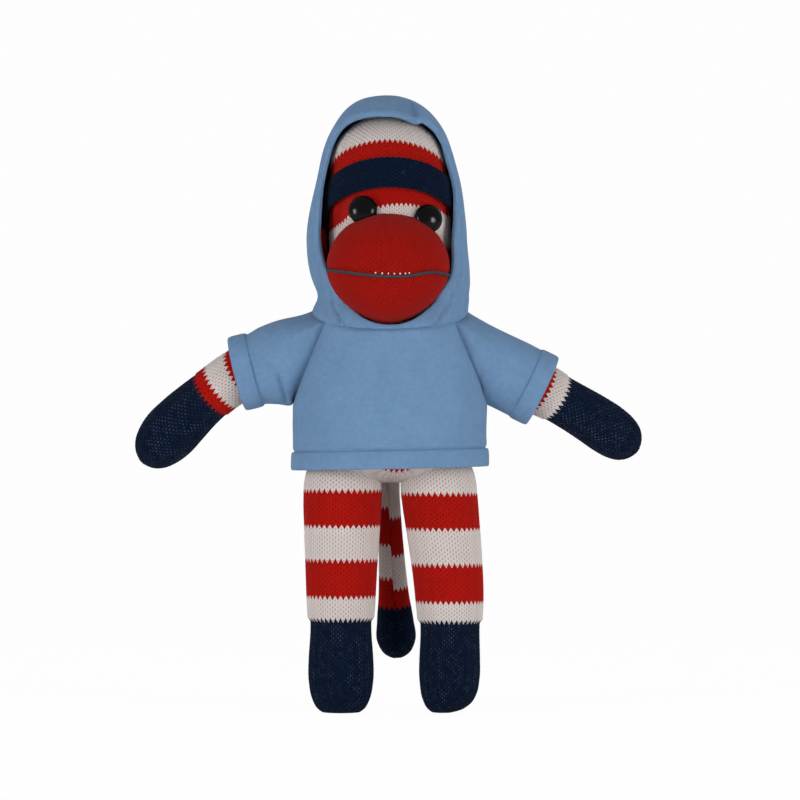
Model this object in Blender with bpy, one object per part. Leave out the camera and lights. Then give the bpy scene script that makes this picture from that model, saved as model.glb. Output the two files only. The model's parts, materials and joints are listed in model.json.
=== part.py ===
"""Hooded sock monkey doll, standing on its two soles and facing -Y.

The doll is sewn from knitted sock tubes and stuffed with fibre. Each stuffed piece is a skin, which is
a cup of knit, and a filling inside it. Where a limb flops, a wad of filling sits in a round pocket, so
each joint turns about the centre of a wad. Over the doll go a knitted hat with a turned cuff and a
fleece hoodie with raglan sleeves.

Every soft form is a row of stations along a centreline. A station has a distance along the line and
two half sizes, and the form can be drawn in or let out along its own normals, which is how a skin, its
inner face, its filling and the cloth over it all come from one shape.
"""
import math

import bmesh
import bpy
import numpy as np
from mathutils import Matrix, Vector

MM = 0.001

# Materials' thicknesses and the gaps between pieces
KNIT = 1.0 * MM
FLEECE = 1.6 * MM
HEM_PROUD = 0.5 * MM
FIT_GAP = 0.35 * MM
FILLING_GAP = 0.6 * MM
SOCKET_GAP = 0.6 * MM
OVERRUN = 60 * MM
CUTTER_SIZE = 600 * MM

# Torso: the sock's leg from the crotch up to the tied neck
HIP_HEIGHT = 101 * MM
CROTCH_RISE = 1 * MM
TORSO_LENGTH = 67.5 * MM
TORSO_HALF_WIDTH = 39.5 * MM
TORSO_HALF_DEPTH = 25.5 * MM
TORSO_RISE_SHARES = (0, 0.02, 0.07, 0.14, 0.26, 0.45, 0.62, 0.75, 0.85, 0.93, 0.98, 1)
TORSO_WIDTH_SHARES = (0, 0.36, 0.68, 0.88, 0.98, 1, 0.96, 0.91, 0.84, 0.68, 0.48, 0.31)
TORSO_DEPTH_SHARES = (0, 0.34, 0.64, 0.84, 0.97, 1, 1, 0.97, 0.88, 0.72, 0.56, 0.47)

# Neck: a ball of filling in the tied neck, with the tying thread round it
NECK_RISE = 2 * MM
NECK_HEIGHT = HIP_HEIGHT + CROTCH_RISE + TORSO_LENGTH + NECK_RISE
NECK_BACK = 2 * MM
NECK_WAD_RADIUS = 9 * MM
NECK_TIE_RADIUS = 1 * MM

# Head: the sock's closed end
HEAD_HEIGHT = 89.5 * MM
HEAD_BASE_RISE = 4.5 * MM
HEAD_HALF_WIDTH = 27.3 * MM
HEAD_HALF_DEPTH = 28 * MM
HEAD_RISE_SHARES = (0, 0.05, 0.12, 0.24, 0.40, 0.56, 0.70, 0.80, 0.88, 0.95, 0.985, 1)
HEAD_WIDTH_SHARES = (0.42, 0.66, 0.84, 0.96, 1, 0.98, 0.905, 0.815, 0.68, 0.45, 0.24, 0)

# Muzzle: the sock's heel, sewn to the face as a stuffed dome
MUZZLE_HEIGHT_ABOVE_NECK = 26.5 * MM
MUZZLE_HALF_WIDTH = 27 * MM
MUZZLE_UP = 24 * MM
MUZZLE_DOWN = 25 * MM
MUZZLE_REACH = 47 * MM
MUZZLE_SAG = 2.5 * MM
JAW_TILT_DEG = 28
MUZZLE_DEPTH_SHARES = (0.05, 0.30, 0.52, 0.68, 0.82, 0.92, 0.98, 1)
MUZZLE_SIZE_SHARES = (0.96, 1, 1, 0.94, 0.80, 0.59, 0.31, 0)
MOUTH_YARN_RADIUS = 0.8 * MM
MOUTH_SAG_SHARE = 0.05
MOUTH_WIDTH_SHARE = 0.985

# Eyes: domed safety eyes with a ribbed post and a washer behind the skin
EYE_RADIUS = 6.1 * MM
EYE_DOME = 3.4 * MM
EYE_RIM = 1 * MM
EYE_POST_RADIUS = 1.6 * MM
EYE_POST_LENGTH = 8 * MM
EYE_STAND_OFF = 0.4 * MM
WASHER_RADIUS = 5 * MM
WASHER_THICKNESS = 1.2 * MM
WASHER_DEPTH = 3.6 * MM
LEFT_EYE_X = -11.3 * MM
LEFT_EYE_RISE = 50.5 * MM
RIGHT_EYE_X = 16 * MM
RIGHT_EYE_RISE = 47.1 * MM

# Ears: flat stuffed lobes that the hood presses to the head
EAR_HALF_THICKNESS = 3.1 * MM
EAR_HALF_DEPTH = 9 * MM
EAR_HALF_HEIGHT = 10 * MM
EAR_RISE = 35 * MM

# Hat: a knitted crown and its turned cuff, both tilted back
HAT_KNIT = 0.9 * MM
HAT_CUFF_KNIT = 1.4 * MM
HAT_RIM_RISE = 47.1 * MM
HAT_CUFF_HEIGHT = 12.4 * MM
HAT_TILT_DEG = 26

# Arms: each is a tube whose bones go down in three slopes, measured from its shoulder
SHOULDER_OUT = 40 * MM
ARM_BACK_DEG = 6
LEFT_SHOULDER_RISE = 58.8 * MM
RIGHT_SHOULDER_RISE = 56.6 * MM
LEFT_SHOULDER_HEIGHT = HIP_HEIGHT + LEFT_SHOULDER_RISE
RIGHT_SHOULDER_HEIGHT = HIP_HEIGHT + RIGHT_SHOULDER_RISE
ARM_ROOT_RADIUS = 12.4 * MM
LEFT_UPPER_ARM = 30 * MM
LEFT_FOREARM = 15 * MM
LEFT_HAND = 43 * MM
LEFT_ARM_LENGTHS = (LEFT_UPPER_ARM, LEFT_FOREARM, LEFT_HAND)
LEFT_ARM_SLOPES_DEG = (20, 35, 44)
RIGHT_UPPER_ARM = 32 * MM
RIGHT_FOREARM = 27 * MM
RIGHT_HAND = 23.5 * MM
RIGHT_ARM_LENGTHS = (RIGHT_UPPER_ARM, RIGHT_FOREARM, RIGHT_HAND)
RIGHT_ARM_SLOPES_DEG = (27, 30, 35)
ARM_STATION_SHARES = (0, 0.18, 0.34, 0.48, 0.58, 0.70, 0.80, 0.88, 0.94, 0.98, 1)
LEFT_ARM_RADIUS = 12 * MM
LEFT_ARM_RADIUS_SHARES = (1.03, 1.02, 0.98, 0.96, 0.94, 1.06, 1.1, 0.99, 0.79, 0.49, 0)
RIGHT_ARM_RADIUS = 11.9 * MM
RIGHT_ARM_RADIUS_SHARES = (1.04, 1.03, 1.02, 1, 0.93, 0.97, 1, 0.93, 0.76, 0.47, 0)
LEFT_ARM_RADII = [LEFT_ARM_RADIUS * share for share in LEFT_ARM_RADIUS_SHARES]
RIGHT_ARM_RADII = [RIGHT_ARM_RADIUS * share for share in RIGHT_ARM_RADIUS_SHARES]
SHOULDER_WAD_RADIUS = 6 * MM

# Legs: the two halves of the sock's foot, down to flat soles
LEFT_HIP_OUT = 21 * MM
RIGHT_HIP_OUT = 21.5 * MM
LEFT_LEG_ROOT_RADIUS = 17.3 * MM
RIGHT_LEG_ROOT_RADIUS = 16.9 * MM
LEFT_LEG_OUT = 0.8 * MM
RIGHT_LEG_OUT = 5 * MM
LEG_BEND_SHARES = (0.5, 0.85)
LEG_STATION_SHARES = (0, 0.07, 0.2, 0.35, 0.5, 0.62, 0.76, 0.86, 0.93, 0.975, 0.993, 1)
LEFT_LEG_RADIUS_SHARES = (1, 1.01, 0.975, 0.93, 0.89, 0.86, 0.875, 0.85, 0.79, 0.68, 0.60, 0)
RIGHT_LEG_RADIUS_SHARES = (1, 1, 0.97, 0.935, 0.9, 0.86, 0.85, 0.83, 0.77, 0.67, 0.59, 0)
LEFT_LEG_RADII = [LEFT_LEG_ROOT_RADIUS * share for share in LEFT_LEG_RADIUS_SHARES]
RIGHT_LEG_RADII = [RIGHT_LEG_ROOT_RADIUS * share for share in RIGHT_LEG_RADIUS_SHARES]
SOLE_CUT = 1 * MM
RIGHT_TOE_SLANT = 0.2
TOE_HEIGHT = 18 * MM
HIP_WAD_RADIUS = 8.4 * MM

# Tail: a thin tube that hangs behind the legs and thickens to its tip
TAIL_ROOT_RISE = 5.5 * MM
TAIL_ROOT_HEIGHT = HIP_HEIGHT + TAIL_ROOT_RISE
TAIL_ROOT_BACK = 20.5 * MM
TAIL_ROOT_RADIUS = 5.6 * MM
TAIL_LENGTH = 83 * MM
TAIL_BACK_DEG = 15
TAIL_SIDE_DEG = 2
TAIL_TIP_RADIUS = 8.8 * MM
TAIL_STATION_SHARES = (0, 0.12, 0.3, 0.5, 0.66, 0.8, 0.9, 0.97, 1)
TAIL_RADIUS_SHARES = (0.63, 0.62, 0.68, 0.76, 0.88, 1, 0.9, 0.55, 0)
TAIL_RADII = [TAIL_TIP_RADIUS * share for share in TAIL_RADIUS_SHARES]
TAIL_WAD_RADIUS = 2.4 * MM

# Limbs' open ends, as shares of their balls' radii
MOUTH_SHARE = 0.62
POCKET_MOUTH_SHARE = 0.75

# How far each limb turns: the sockets are cut for these
SIT_DEG = 70
KICK_BACK_DEG = 10
SPLAY_OUT_DEG = 25
ARM_LOWER_DEG = 25
ARM_RAISE_DEG = 70
ARM_FORWARD_DEG = 60
ARM_BACKWARD_DEG = 35
TAIL_LIFT_DEG = 80
TAIL_SWAY_DEG = 40

# Hoodie body, hem, sleeves and cuffs
HOODIE_EASE = 2.6 * MM
HEM_HEIGHT = 8 * MM
HEM_DROP = 7.5 * MM
NECKLINE_RISE = 5.7 * MM
NECKLINE_HEIGHT = NECK_HEIGHT + NECKLINE_RISE
NECKLINE_HALF_WIDTH = 34.8 * MM
NECKLINE_HALF_DEPTH = 33 * MM
NECKLINE_TILT_DEG = 12.5
HOODIE_RISE_SHARES = (0, 0.12, 0.32, 0.5, 0.66, 0.8, 0.9, 1, 1.16)
HOODIE_WIDTH_SHARES = (1, 0.995, 0.985, 0.99, 0.95, 0.88, 0.83)
HOODIE_DEPTH_SHARES = (1, 1.01, 1.03, 1.04, 1.04, 1.06, 1.09)
SLEEVE_HALF_HEIGHT = 16.6 * MM
SLEEVE_HALF_DEPTH = 15.4 * MM
SLEEVE_INSIDE = 10 * MM
LEFT_SLEEVE_TOP = 10 * MM
LEFT_SLEEVE_END = 10.3 * MM
LEFT_SLEEVE_LENGTHS = (SLEEVE_INSIDE, LEFT_SLEEVE_TOP, LEFT_SLEEVE_END)
LEFT_SLEEVE_SLOPES_DEG = (8, 8, 14)
RIGHT_SLEEVE_TOP = 10.5 * MM
RIGHT_SLEEVE_END = 11.5 * MM
RIGHT_SLEEVE_LENGTHS = (SLEEVE_INSIDE, RIGHT_SLEEVE_TOP, RIGHT_SLEEVE_END)
RIGHT_SLEEVE_SLOPES_DEG = (0, 20, 26)
SLEEVE_STATION_SHARES = (0, 0.2, 0.35, 0.62, 1)
SLEEVE_SHARES = (0.85, 1.05, 1.14, 1.04, 0.96)
SLEEVE_CENTRE_DROP = 2 * MM
CUFF_WIDTH = 8.6 * MM
CUFF_PROUD = 1 * MM
RAGLAN_TOP_OUT = 28.9 * MM
RAGLAN_SLOPE_DEG = 23

# Hood: an egg of fleece round the head, open at the face, in two panels with a hem casing
HOOD_PEAK_ROOM = 9 * MM
HOOD_HALF_WIDTH = 37 * MM
HOOD_HALF_DEPTH = 36 * MM
HOOD_BACK = 1.5 * MM
HOOD_RISE_SHARES = (0, 0.09, 0.155, 0.21, 0.3, 0.4, 0.53, 0.67, 0.765, 0.84, 0.9, 0.945, 0.98, 1)
HOOD_WIDTH_SHARES = (0.94, 0.94, 0.9, 0.94, 0.985, 0.99, 0.915, 0.825, 0.735, 0.62, 0.51, 0.39, 0.23, 0)
HOOD_DEPTH_SHARES = (0.92, 0.92, 0.91, 0.94, 0.985, 1, 0.96, 0.87, 0.78, 0.67, 0.55, 0.41, 0.24, 0)
FACE_BOTTOM_RISE = 1 * MM
FACE_HEIGHT = 92.5 * MM
FACE_DEPTH = 33 * MM
FACE_RISE_SHARES = (0, 0.04, 0.08, 0.17, 0.28, 0.42, 0.56, 0.78, 0.9, 0.96, 1, 1.02)
FACE_DEPTH_SHARES = (0.91, 0.76, 0.63, 0.51, 0.5, 0.53, 0.49, 0.42, 0.44, 0.5, 0.62, 0.8)
CASING_WIDTH = 7.5 * MM
FACE_EDGE_POINTS = 26

# Facets round each kind of form
TORSO_SIDES = 24
HEAD_SIDES = 24
LEG_SIDES = 16
ARM_SIDES = 14
TAIL_SIDES = 12
SMALL_SIDES = 12
EYE_SIDES = 16
CLOTH_SIDES = 32
SLEEVE_SIDES = 24
BALL_SIDES = 16
FILLING_FACETS_SHARE = 0.67

# Colours: what each piece is made of
RED_KNIT = ((0.48, 0.02, 0.015), 0.9)
WHITE_KNIT = ((0.74, 0.70, 0.69), 0.9)
NAVY_KNIT = ((0.012, 0.024, 0.062), 0.9)
BLUE_FLEECE = ((0.15, 0.31, 0.54), 0.95)
FIBRE = ((0.85, 0.85, 0.83), 1.0)
GLOSSY_BLACK = ((0.008, 0.008, 0.008), 0.12)
WHITE_PLASTIC = ((0.7, 0.7, 0.68), 0.45)
NAVY_YARN = ((0.012, 0.024, 0.062), 0.85)

UP = Vector((0, 0, 1))
FRONT = Vector((0, -1, 0))
RIGHT = Vector((1, 0, 0))


class Line:
    """A centreline through hand-placed points, rounded at its bends, with a distance along it."""

    def __init__(self, points, across=FRONT):
        knots = np.array([tuple(p) for p in points], float)
        ahead = np.vstack([2 * knots[0] - knots[1], knots, 2 * knots[-1] - knots[-2]])
        t = np.linspace(0, 1, 24, endpoint=False)[:, None]
        runs = []
        for a, b, c, d in zip(ahead, ahead[1:], ahead[2:], ahead[3:]):
            # Catmull-Rom: a cubic that passes b and c with the slopes a-c and b-d
            cubic = 2 * b + (c - a) * t + (2 * a - 5 * b + 4 * c - d) * t**2 + (3 * b - a - 3 * c + d) * t**3
            runs.append(cubic / 2)
        self.points = np.vstack(runs + [knots[-1:]])
        steps = np.linalg.norm(np.diff(self.points, axis=0), axis=1)
        self.along = np.concatenate([[0], np.cumsum(steps)])
        self.length = self.along[-1]
        self.across = np.array(across, float)

    def frame(self, distance):
        """The point, the way along, the side and the front at a distance, which may lie past the ends."""
        inside = float(np.clip(distance, 0, self.length))
        point = np.array([np.interp(inside, self.along, axis) for axis in self.points.T])
        index = int(np.clip(np.searchsorted(self.along, inside), 1, len(self.along) - 1))
        way = self.points[index] - self.points[index - 1]
        way /= np.linalg.norm(way)
        side = np.cross(way, self.across)
        side /= np.linalg.norm(side)
        return point + way * (distance - inside), way, side, np.cross(side, way)


class Form:
    """A soft form: stations (distance, half side, half front) along a line, each an oval of facets."""

    def __init__(self, line, along, half_side, half_front, sides, powers=(2, 2)):
        self.line = line
        self.along = np.array(along, float)
        self.half_side = np.array(half_side, float)
        self.half_front = np.array(half_front, float)
        self.sides = sides
        self.powers = powers

    def drawn_in(self, depth):
        """The same form with its wall moved inwards by depth, or let out where depth is negative."""
        mean = (self.half_side + self.half_front) / 2
        run, climb = np.gradient(self.along), np.gradient(mean)
        long = np.hypot(run, climb)
        out, forward = run / long, -climb / long
        closed = mean == 0
        out[closed] = 0
        forward[closed] = np.where(np.arange(len(mean)) == 0, -1, 1)[closed]
        keep = np.where(closed, 0, 1)
        return Form(
            self.line,
            self.along - depth * forward,
            (self.half_side - depth * out) * keep,
            (self.half_front - depth * out) * keep,
            self.sides,
            self.powers,
        )

    def coarser(self):
        """The same form with fewer facets round it, for what doesn't show."""
        sides = 2 * round(self.sides * FILLING_FACETS_SHARE / 2)
        return Form(self.line, self.along, self.half_side, self.half_front, sides, self.powers)

    def rings(self):
        """Each station's points: an oval whose two halves may have unlike powers, or one point."""
        turn = np.arange(self.sides) / self.sides * math.tau
        across, ahead = np.cos(turn), np.sin(turn)
        power = np.where(across > 0, *self.powers)
        swell = (np.abs(across) ** power + np.abs(ahead) ** power) ** (-1 / power)
        found = []
        for distance, side_size, front_size in zip(self.along, self.half_side, self.half_front):
            point, _, side, front = self.line.frame(distance)
            if side_size == 0:
                found.append(point[None])
                continue
            sideways = np.outer(across * swell * side_size, side)
            forwards = np.outer(ahead * swell * front_size, front)
            found.append(point + sideways + forwards)
        return found


def material(name, finish):
    """A Principled material from a colour and a roughness."""
    colour, roughness = finish
    made = bpy.data.materials.get(name) or bpy.data.materials.new(name)
    made.use_nodes = True
    shader = made.node_tree.nodes["Principled BSDF"]
    shader.inputs["Base Color"].default_value = (*colour, 1)
    shader.inputs["Roughness"].default_value = roughness
    made.diffuse_color = (*colour, 1)
    return made


def solid(name, rings, finish, loop=False):
    """One closed body through a row of rings; a loop joins its last ring to its first, as in a hoop."""
    mesh = bmesh.new()
    rows = [[mesh.verts.new(p) for p in ring] for ring in rings]
    pairs = list(zip(rows, rows[1:])) + ([(rows[-1], rows[0])] if loop else [])
    for low, high in pairs:
        count = max(len(low), len(high))
        for i in range(count):
            j = (i + 1) % count
            corners = [low[i % len(low)], low[j % len(low)], high[j % len(high)], high[i % len(high)]]
            mesh.faces.new(list(dict.fromkeys(corners)))
    if not loop:
        for end in (rows[0], rows[-1]):
            if len(end) > 1:
                mesh.faces.new(end)
    bmesh.ops.recalc_face_normals(mesh, faces=mesh.faces)
    if mesh.calc_volume(signed=True) < 0:
        bmesh.ops.reverse_faces(mesh, faces=mesh.faces)
    return placed(name, mesh, finish)


def placed(name, mesh, finish):
    """Put a bmesh into the scene as a smooth-shaded object with its material."""
    data = bpy.data.meshes.new(name)
    mesh.to_mesh(data)
    mesh.free()
    data.shade_smooth()
    thing = bpy.data.objects.new(name, data)
    bpy.context.scene.collection.objects.link(thing)
    if finish:
        data.materials.append(material(name + "_material", finish))
    else:
        thing.hide_render = True
        thing.display_type = "WIRE"
    return thing


def cup(name, outer, inner, finish, open_first):
    """A skin: the outer rings to the open end's rim, then the inner rings back."""
    out_rings, in_rings = outer.rings(), inner.rings()
    if open_first:
        return solid(name, out_rings[::-1] + in_rings, finish)
    return solid(name, out_rings + in_rings[::-1], finish)


def ball(name, centre, radius, finish=None, sides=BALL_SIDES):
    """A faceted ball."""
    mesh = bmesh.new()
    bmesh.ops.create_uvsphere(mesh, u_segments=sides, v_segments=sides // 2, radius=radius)
    bmesh.ops.translate(mesh, verts=mesh.verts, vec=centre)
    return placed(name, mesh, finish)


def hull(name, points):
    """A cutter: the convex hull of points."""
    mesh = bmesh.new()
    corners = [mesh.verts.new(p) for p in points]
    made = bmesh.ops.convex_hull(mesh, input=corners)
    spare = {v for v in made["geom_interior"] + made["geom_unused"] if isinstance(v, bmesh.types.BMVert)}
    bmesh.ops.delete(mesh, geom=list(spare), context="VERTS")
    bmesh.ops.recalc_face_normals(mesh, faces=mesh.faces)
    return placed(name, mesh, None)


def half_space(name, point, way):
    """A cutter: a great box whose one face passes a point, and which lies on the side that way points to."""
    mesh = bmesh.new()
    bmesh.ops.create_cube(mesh, size=CUTTER_SIZE)
    bmesh.ops.translate(mesh, verts=mesh.verts, vec=(0, 0, CUTTER_SIZE / 2))
    turn = UP.rotation_difference(Vector(way).normalized()).to_matrix().to_4x4()
    bmesh.ops.transform(mesh, verts=mesh.verts, matrix=Matrix.Translation(point) @ turn)
    return placed(name, mesh, None)


def boolean(thing, cutter, operation="DIFFERENCE"):
    """Add an exact Boolean with a cutter."""
    step = thing.modifiers.new(cutter.name, "BOOLEAN")
    step.operation = operation
    step.solver = "EXACT"
    step.object = cutter


def swept(centre, radius, reach, directions):
    """Points whose hull holds a round limb in every direction that it can point, clear of its facets."""
    radius /= math.cos(math.pi / BALL_SIDES)
    turn = np.linspace(0, math.tau, BALL_SIDES, endpoint=False)
    found = []
    for polar in np.linspace(0, math.pi, BALL_SIDES // 2 + 1):
        level = np.full(BALL_SIDES, math.cos(polar))
        circle = np.stack([np.sin(polar) * np.cos(turn), np.sin(polar) * np.sin(turn), level], 1)
        found += list(circle * radius)
    for way in directions:
        side = way.orthogonal().normalized()
        front = way.cross(side)
        for angle in turn:
            found.append(tuple(way * reach + radius * (side * math.cos(angle) + front * math.sin(angle))))
    return [Vector(p) + centre for p in found]


def pivot(name, centre, parent=None):
    """An empty on a joint's centre, which carries the pieces that turn there."""
    empty = bpy.data.objects.new(name, None)
    empty.empty_display_size = FLEECE
    bpy.context.scene.collection.objects.link(empty)
    empty.parent = parent
    empty.location = centre - (Vector(parent["centre"]) if parent else Vector())
    empty["centre"] = centre
    return empty


def hang(pieces, empty):
    """Parent pieces to a joint's empty, with their meshes kept in place."""
    centre = Vector(empty["centre"])
    for piece in pieces:
        piece.data.transform(Matrix.Translation(-centre))
        piece.parent = empty


def bones(start, lengths, slopes_deg, outward, back_deg=0):
    """The points of a line that leaves start outwards and goes down in steps of length and slope."""
    back = math.radians(back_deg)
    points = [Vector(start)]
    for length, slope in zip(lengths, slopes_deg):
        level, drop = math.cos(math.radians(slope)), math.sin(math.radians(slope))
        way = Vector((outward * level * math.cos(back), level * math.sin(back), -drop))
        points.append(points[-1] + way * length)
    return points


def limb_form(line, root_radius, stations, radii, sides):
    """A limb: a ball's back half from its mouth, then the tube's stations to the closed tip."""
    rim = math.asin(MOUTH_SHARE)
    turns = np.linspace(rim, math.pi / 2, 4)[:-1]
    along = list(-root_radius * np.cos(turns)) + [line.length * s for s in stations]
    size = list(root_radius * np.sin(turns)) + list(radii)
    return Form(line, along, size, size, sides)


def stuffed_limb(name, form, wad_radius, skin_finish):
    """A limb's skin and its filling, whose root holds a pocket for the wad that it flops on."""
    skin = cup(name + "_skin", form, form.drawn_in(KNIT), skin_finish, open_first=True)
    packed = form.drawn_in(KNIT + FILLING_GAP).coarser()
    mouth = packed.half_side[0]
    pocket = wad_radius + SOCKET_GAP
    pocket_mouth = min(mouth, pocket * POCKET_MOUTH_SHARE)
    turns = np.linspace(math.asin(pocket_mouth / pocket), math.pi, 6)
    along = -pocket * np.cos(turns)
    size = pocket * np.sin(turns)
    size[-1] = 0
    hollow = Form(form.line, along, size, size, packed.sides)
    filling = solid(name + "_filling", packed.rings()[::-1] + hollow.rings(), FIBRE)
    return [skin, filling]


def upright(base, height, rises, half_width, widths, half_depth, depths, sides, back=0, powers=(2, 2)):
    """A form that stands on a level, with its stations given as shares of its height, width and depth."""
    line = Line([Vector((0, back, base)), Vector((0, back, base + height))])
    return Form(
        line,
        [height * r for r in rises],
        [half_width * w for w in widths],
        [half_depth * d for d in depths],
        sides,
        powers,
    )


def leg_form(outward, hip_out, root_radius, leg_out, radii):
    """A leg's form, from its hip straight down with its shin set outwards, to past the sole's cut."""
    length = HIP_HEIGHT + SOLE_CUT
    knee, ankle = LEG_BEND_SHARES
    hip = Vector((outward * hip_out, 0, HIP_HEIGHT))
    shin = hip + RIGHT * outward * leg_out
    line = Line([hip, shin - UP * length * knee, shin - UP * length * ankle, shin - UP * length])
    return hip, limb_form(line, root_radius, LEG_STATION_SHARES, radii, LEG_SIDES)


def slant_toe(skin, filling, middle, slant):
    """Raise a foot's outer side, where its toe seam slants, by a shear that fades out at the ankle."""
    lowest = -SOLE_CUT
    for raised in (slant, 0):
        for thing in (skin, filling):
            for vert in thing.data.vertices:
                fade = 1 - min(max(vert.co.z / TOE_HEIGHT, 0), 1)
                vert.co.z += raised * fade * max(vert.co.x - middle, 0) - (lowest + SOLE_CUT) * fade
        lowest = min(v.co.z for v in skin.data.vertices)


def cut_sole(thing):
    """Cut a foot flat where it stands."""
    mesh = bmesh.new()
    mesh.from_mesh(thing.data)
    everything = mesh.verts[:] + mesh.edges[:] + mesh.faces[:]
    cut = bmesh.ops.bisect_plane(mesh, geom=everything, plane_co=(0, 0, 0), plane_no=UP, clear_inner=True)
    edges = [e for e in cut["geom_cut"] if isinstance(e, bmesh.types.BMEdge)]
    if edges:
        bmesh.ops.contextual_create(mesh, geom=edges)
    bmesh.ops.recalc_face_normals(mesh, faces=mesh.faces)
    mesh.to_mesh(thing.data)
    mesh.free()
    thing.data.shade_smooth()


def torso_form():
    """The stuffed body, from the crotch to the neck's opening."""
    return upright(
        HIP_HEIGHT + CROTCH_RISE, TORSO_LENGTH, TORSO_RISE_SHARES, TORSO_HALF_WIDTH, TORSO_WIDTH_SHARES,
        TORSO_HALF_DEPTH, TORSO_DEPTH_SHARES, TORSO_SIDES,
    )


def head_form():
    """The stuffed head, from the neck's opening to its closed top."""
    return upright(
        NECK_HEIGHT + HEAD_BASE_RISE, HEAD_HEIGHT, HEAD_RISE_SHARES, HEAD_HALF_WIDTH, HEAD_WIDTH_SHARES,
        HEAD_HALF_DEPTH, HEAD_WIDTH_SHARES, HEAD_SIDES,
    )


def muzzle_form():
    """The heel's dome: ovals that face forward, rounder above than below."""
    height = NECK_HEIGHT + MUZZLE_HEIGHT_ABOVE_NECK
    line = Line([Vector((0, 0, height)), Vector((0, -MUZZLE_REACH, height - MUZZLE_SAG))], across=RIGHT)
    return Form(
        line,
        [line.length * s for s in MUZZLE_DEPTH_SHARES],
        [(MUZZLE_UP + MUZZLE_DOWN) / 2 * s for s in MUZZLE_SIZE_SHARES],
        [MUZZLE_HALF_WIDTH * s for s in MUZZLE_SIZE_SHARES],
        HEAD_SIDES,
        powers=(2.1, 1.7),
    )


def hoodie_form():
    """The hoodie's body, from its lower edge to past the neckline."""
    low = HIP_HEIGHT + HEM_DROP
    shares = list(zip(HOODIE_WIDTH_SHARES, HOODIE_DEPTH_SHARES))
    half_width = TORSO_HALF_WIDTH + HOODIE_EASE + FLEECE
    half_depth = TORSO_HALF_DEPTH + HOODIE_EASE + FLEECE
    widths = [half_width * w for w, _ in shares] + [NECKLINE_HALF_WIDTH] * 2
    depths = [half_depth * d for _, d in shares] + [NECKLINE_HALF_DEPTH] * 2
    height = NECKLINE_HEIGHT - low
    line = Line([Vector((0, 0, low)), Vector((0, 0, low + height))])
    return Form(line, [height * r for r in HOODIE_RISE_SHARES], widths, depths, CLOTH_SIDES)


def hood_form():
    """The hood's egg, from below the neckline to its peak."""
    base = NECKLINE_HEIGHT - HEM_HEIGHT
    height = NECK_HEIGHT + HEAD_BASE_RISE + HEAD_HEIGHT + HOOD_PEAK_ROOM - base
    return upright(
        base, height, HOOD_RISE_SHARES, HOOD_HALF_WIDTH, HOOD_WIDTH_SHARES, HOOD_HALF_DEPTH,
        HOOD_DEPTH_SHARES, CLOTH_SIDES, back=HOOD_BACK,
    )


def face_cutter(name, grow):
    """What the face opening leaves out: all that lies in front of its edge, seen from the side."""
    line = Line([
        Vector((0, -FACE_DEPTH * depth, NECK_HEIGHT + FACE_BOTTOM_RISE + FACE_HEIGHT * rise))
        for rise, depth in zip(FACE_RISE_SHARES, FACE_DEPTH_SHARES)
    ], across=RIGHT)
    edge = []
    for distance in np.linspace(-CASING_WIDTH, line.length + CASING_WIDTH, FACE_EDGE_POINTS):
        point, _, back, _ = line.frame(distance)
        edge.append(point + back * grow)
    outline = np.array(edge + [(0, -OVERRUN, edge[-1][2]), (0, -OVERRUN, edge[0][2])])
    rings = [outline + np.array((side * OVERRUN, 0, 0)) for side in (-1, 1)]
    return solid(name, rings, None)


def along_tilt(height, tilt_deg, back=0):
    """A point and the upward way of a plane that rises towards +Y by the tilt, or falls if negative."""
    tilt = math.radians(tilt_deg)
    return Vector((0, back, height)), Vector((0, -math.sin(tilt), math.cos(tilt)))


def band(name, form, thick_out, thick_in, finish):
    """A hoop of cloth on a form: let out by one depth outside and by the other inside."""
    outer, inner = form.drawn_in(-thick_out).rings(), form.drawn_in(-thick_in).rings()
    return solid(name, outer + inner[::-1], finish, loop=True)


def clipped(form, start, end):
    """The part of a form between two distances along its line, with stations on both."""
    inside = [a for a in form.along if start < a < end]
    along = [start] + inside + [end]
    sizes = [np.interp(along, form.along, s) for s in (form.half_side, form.half_front)]
    return Form(form.line, along, *sizes, form.sides, form.powers)


def make_torso(torso, sockets):
    """The body's skin and filling, each cut by the round sockets of what moves in it."""
    skin = cup("torso_skin", torso, torso.drawn_in(KNIT), RED_KNIT, open_first=False)
    filling = solid("torso_filling", torso.drawn_in(KNIT + FILLING_GAP).coarser().rings(), FIBRE)
    for socket in sockets:
        for thing in (skin, filling):
            boolean(thing, socket)
    return [skin, filling]


def make_head(head, eye_lines, neck_centre):
    """The head's skin and filling, bored for the eyes' posts, with a pocket for the neck's wad."""
    skin = cup("head_skin", head, head.drawn_in(KNIT), WHITE_KNIT, open_first=True)
    filling = solid("head_filling", head.drawn_in(KNIT + FILLING_GAP).coarser().rings(), FIBRE)
    boolean(filling, ball("neck_pocket", neck_centre, NECK_WAD_RADIUS + SOCKET_GAP))
    for side, line in eye_lines.items():
        reach = [-EYE_DOME, EYE_POST_LENGTH + EYE_DOME]
        bore = [EYE_POST_RADIUS + FIT_GAP] * 2
        boolean(skin, solid(side + "_eye_bore", Form(line, reach, bore, bore, SMALL_SIDES).rings(), None))
        well = [WASHER_RADIUS + FILLING_GAP] * 2
        boolean(filling, solid(side + "_eye_well", Form(line, reach, well, well, SMALL_SIDES).rings(), None))
    return [skin, filling]


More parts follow.
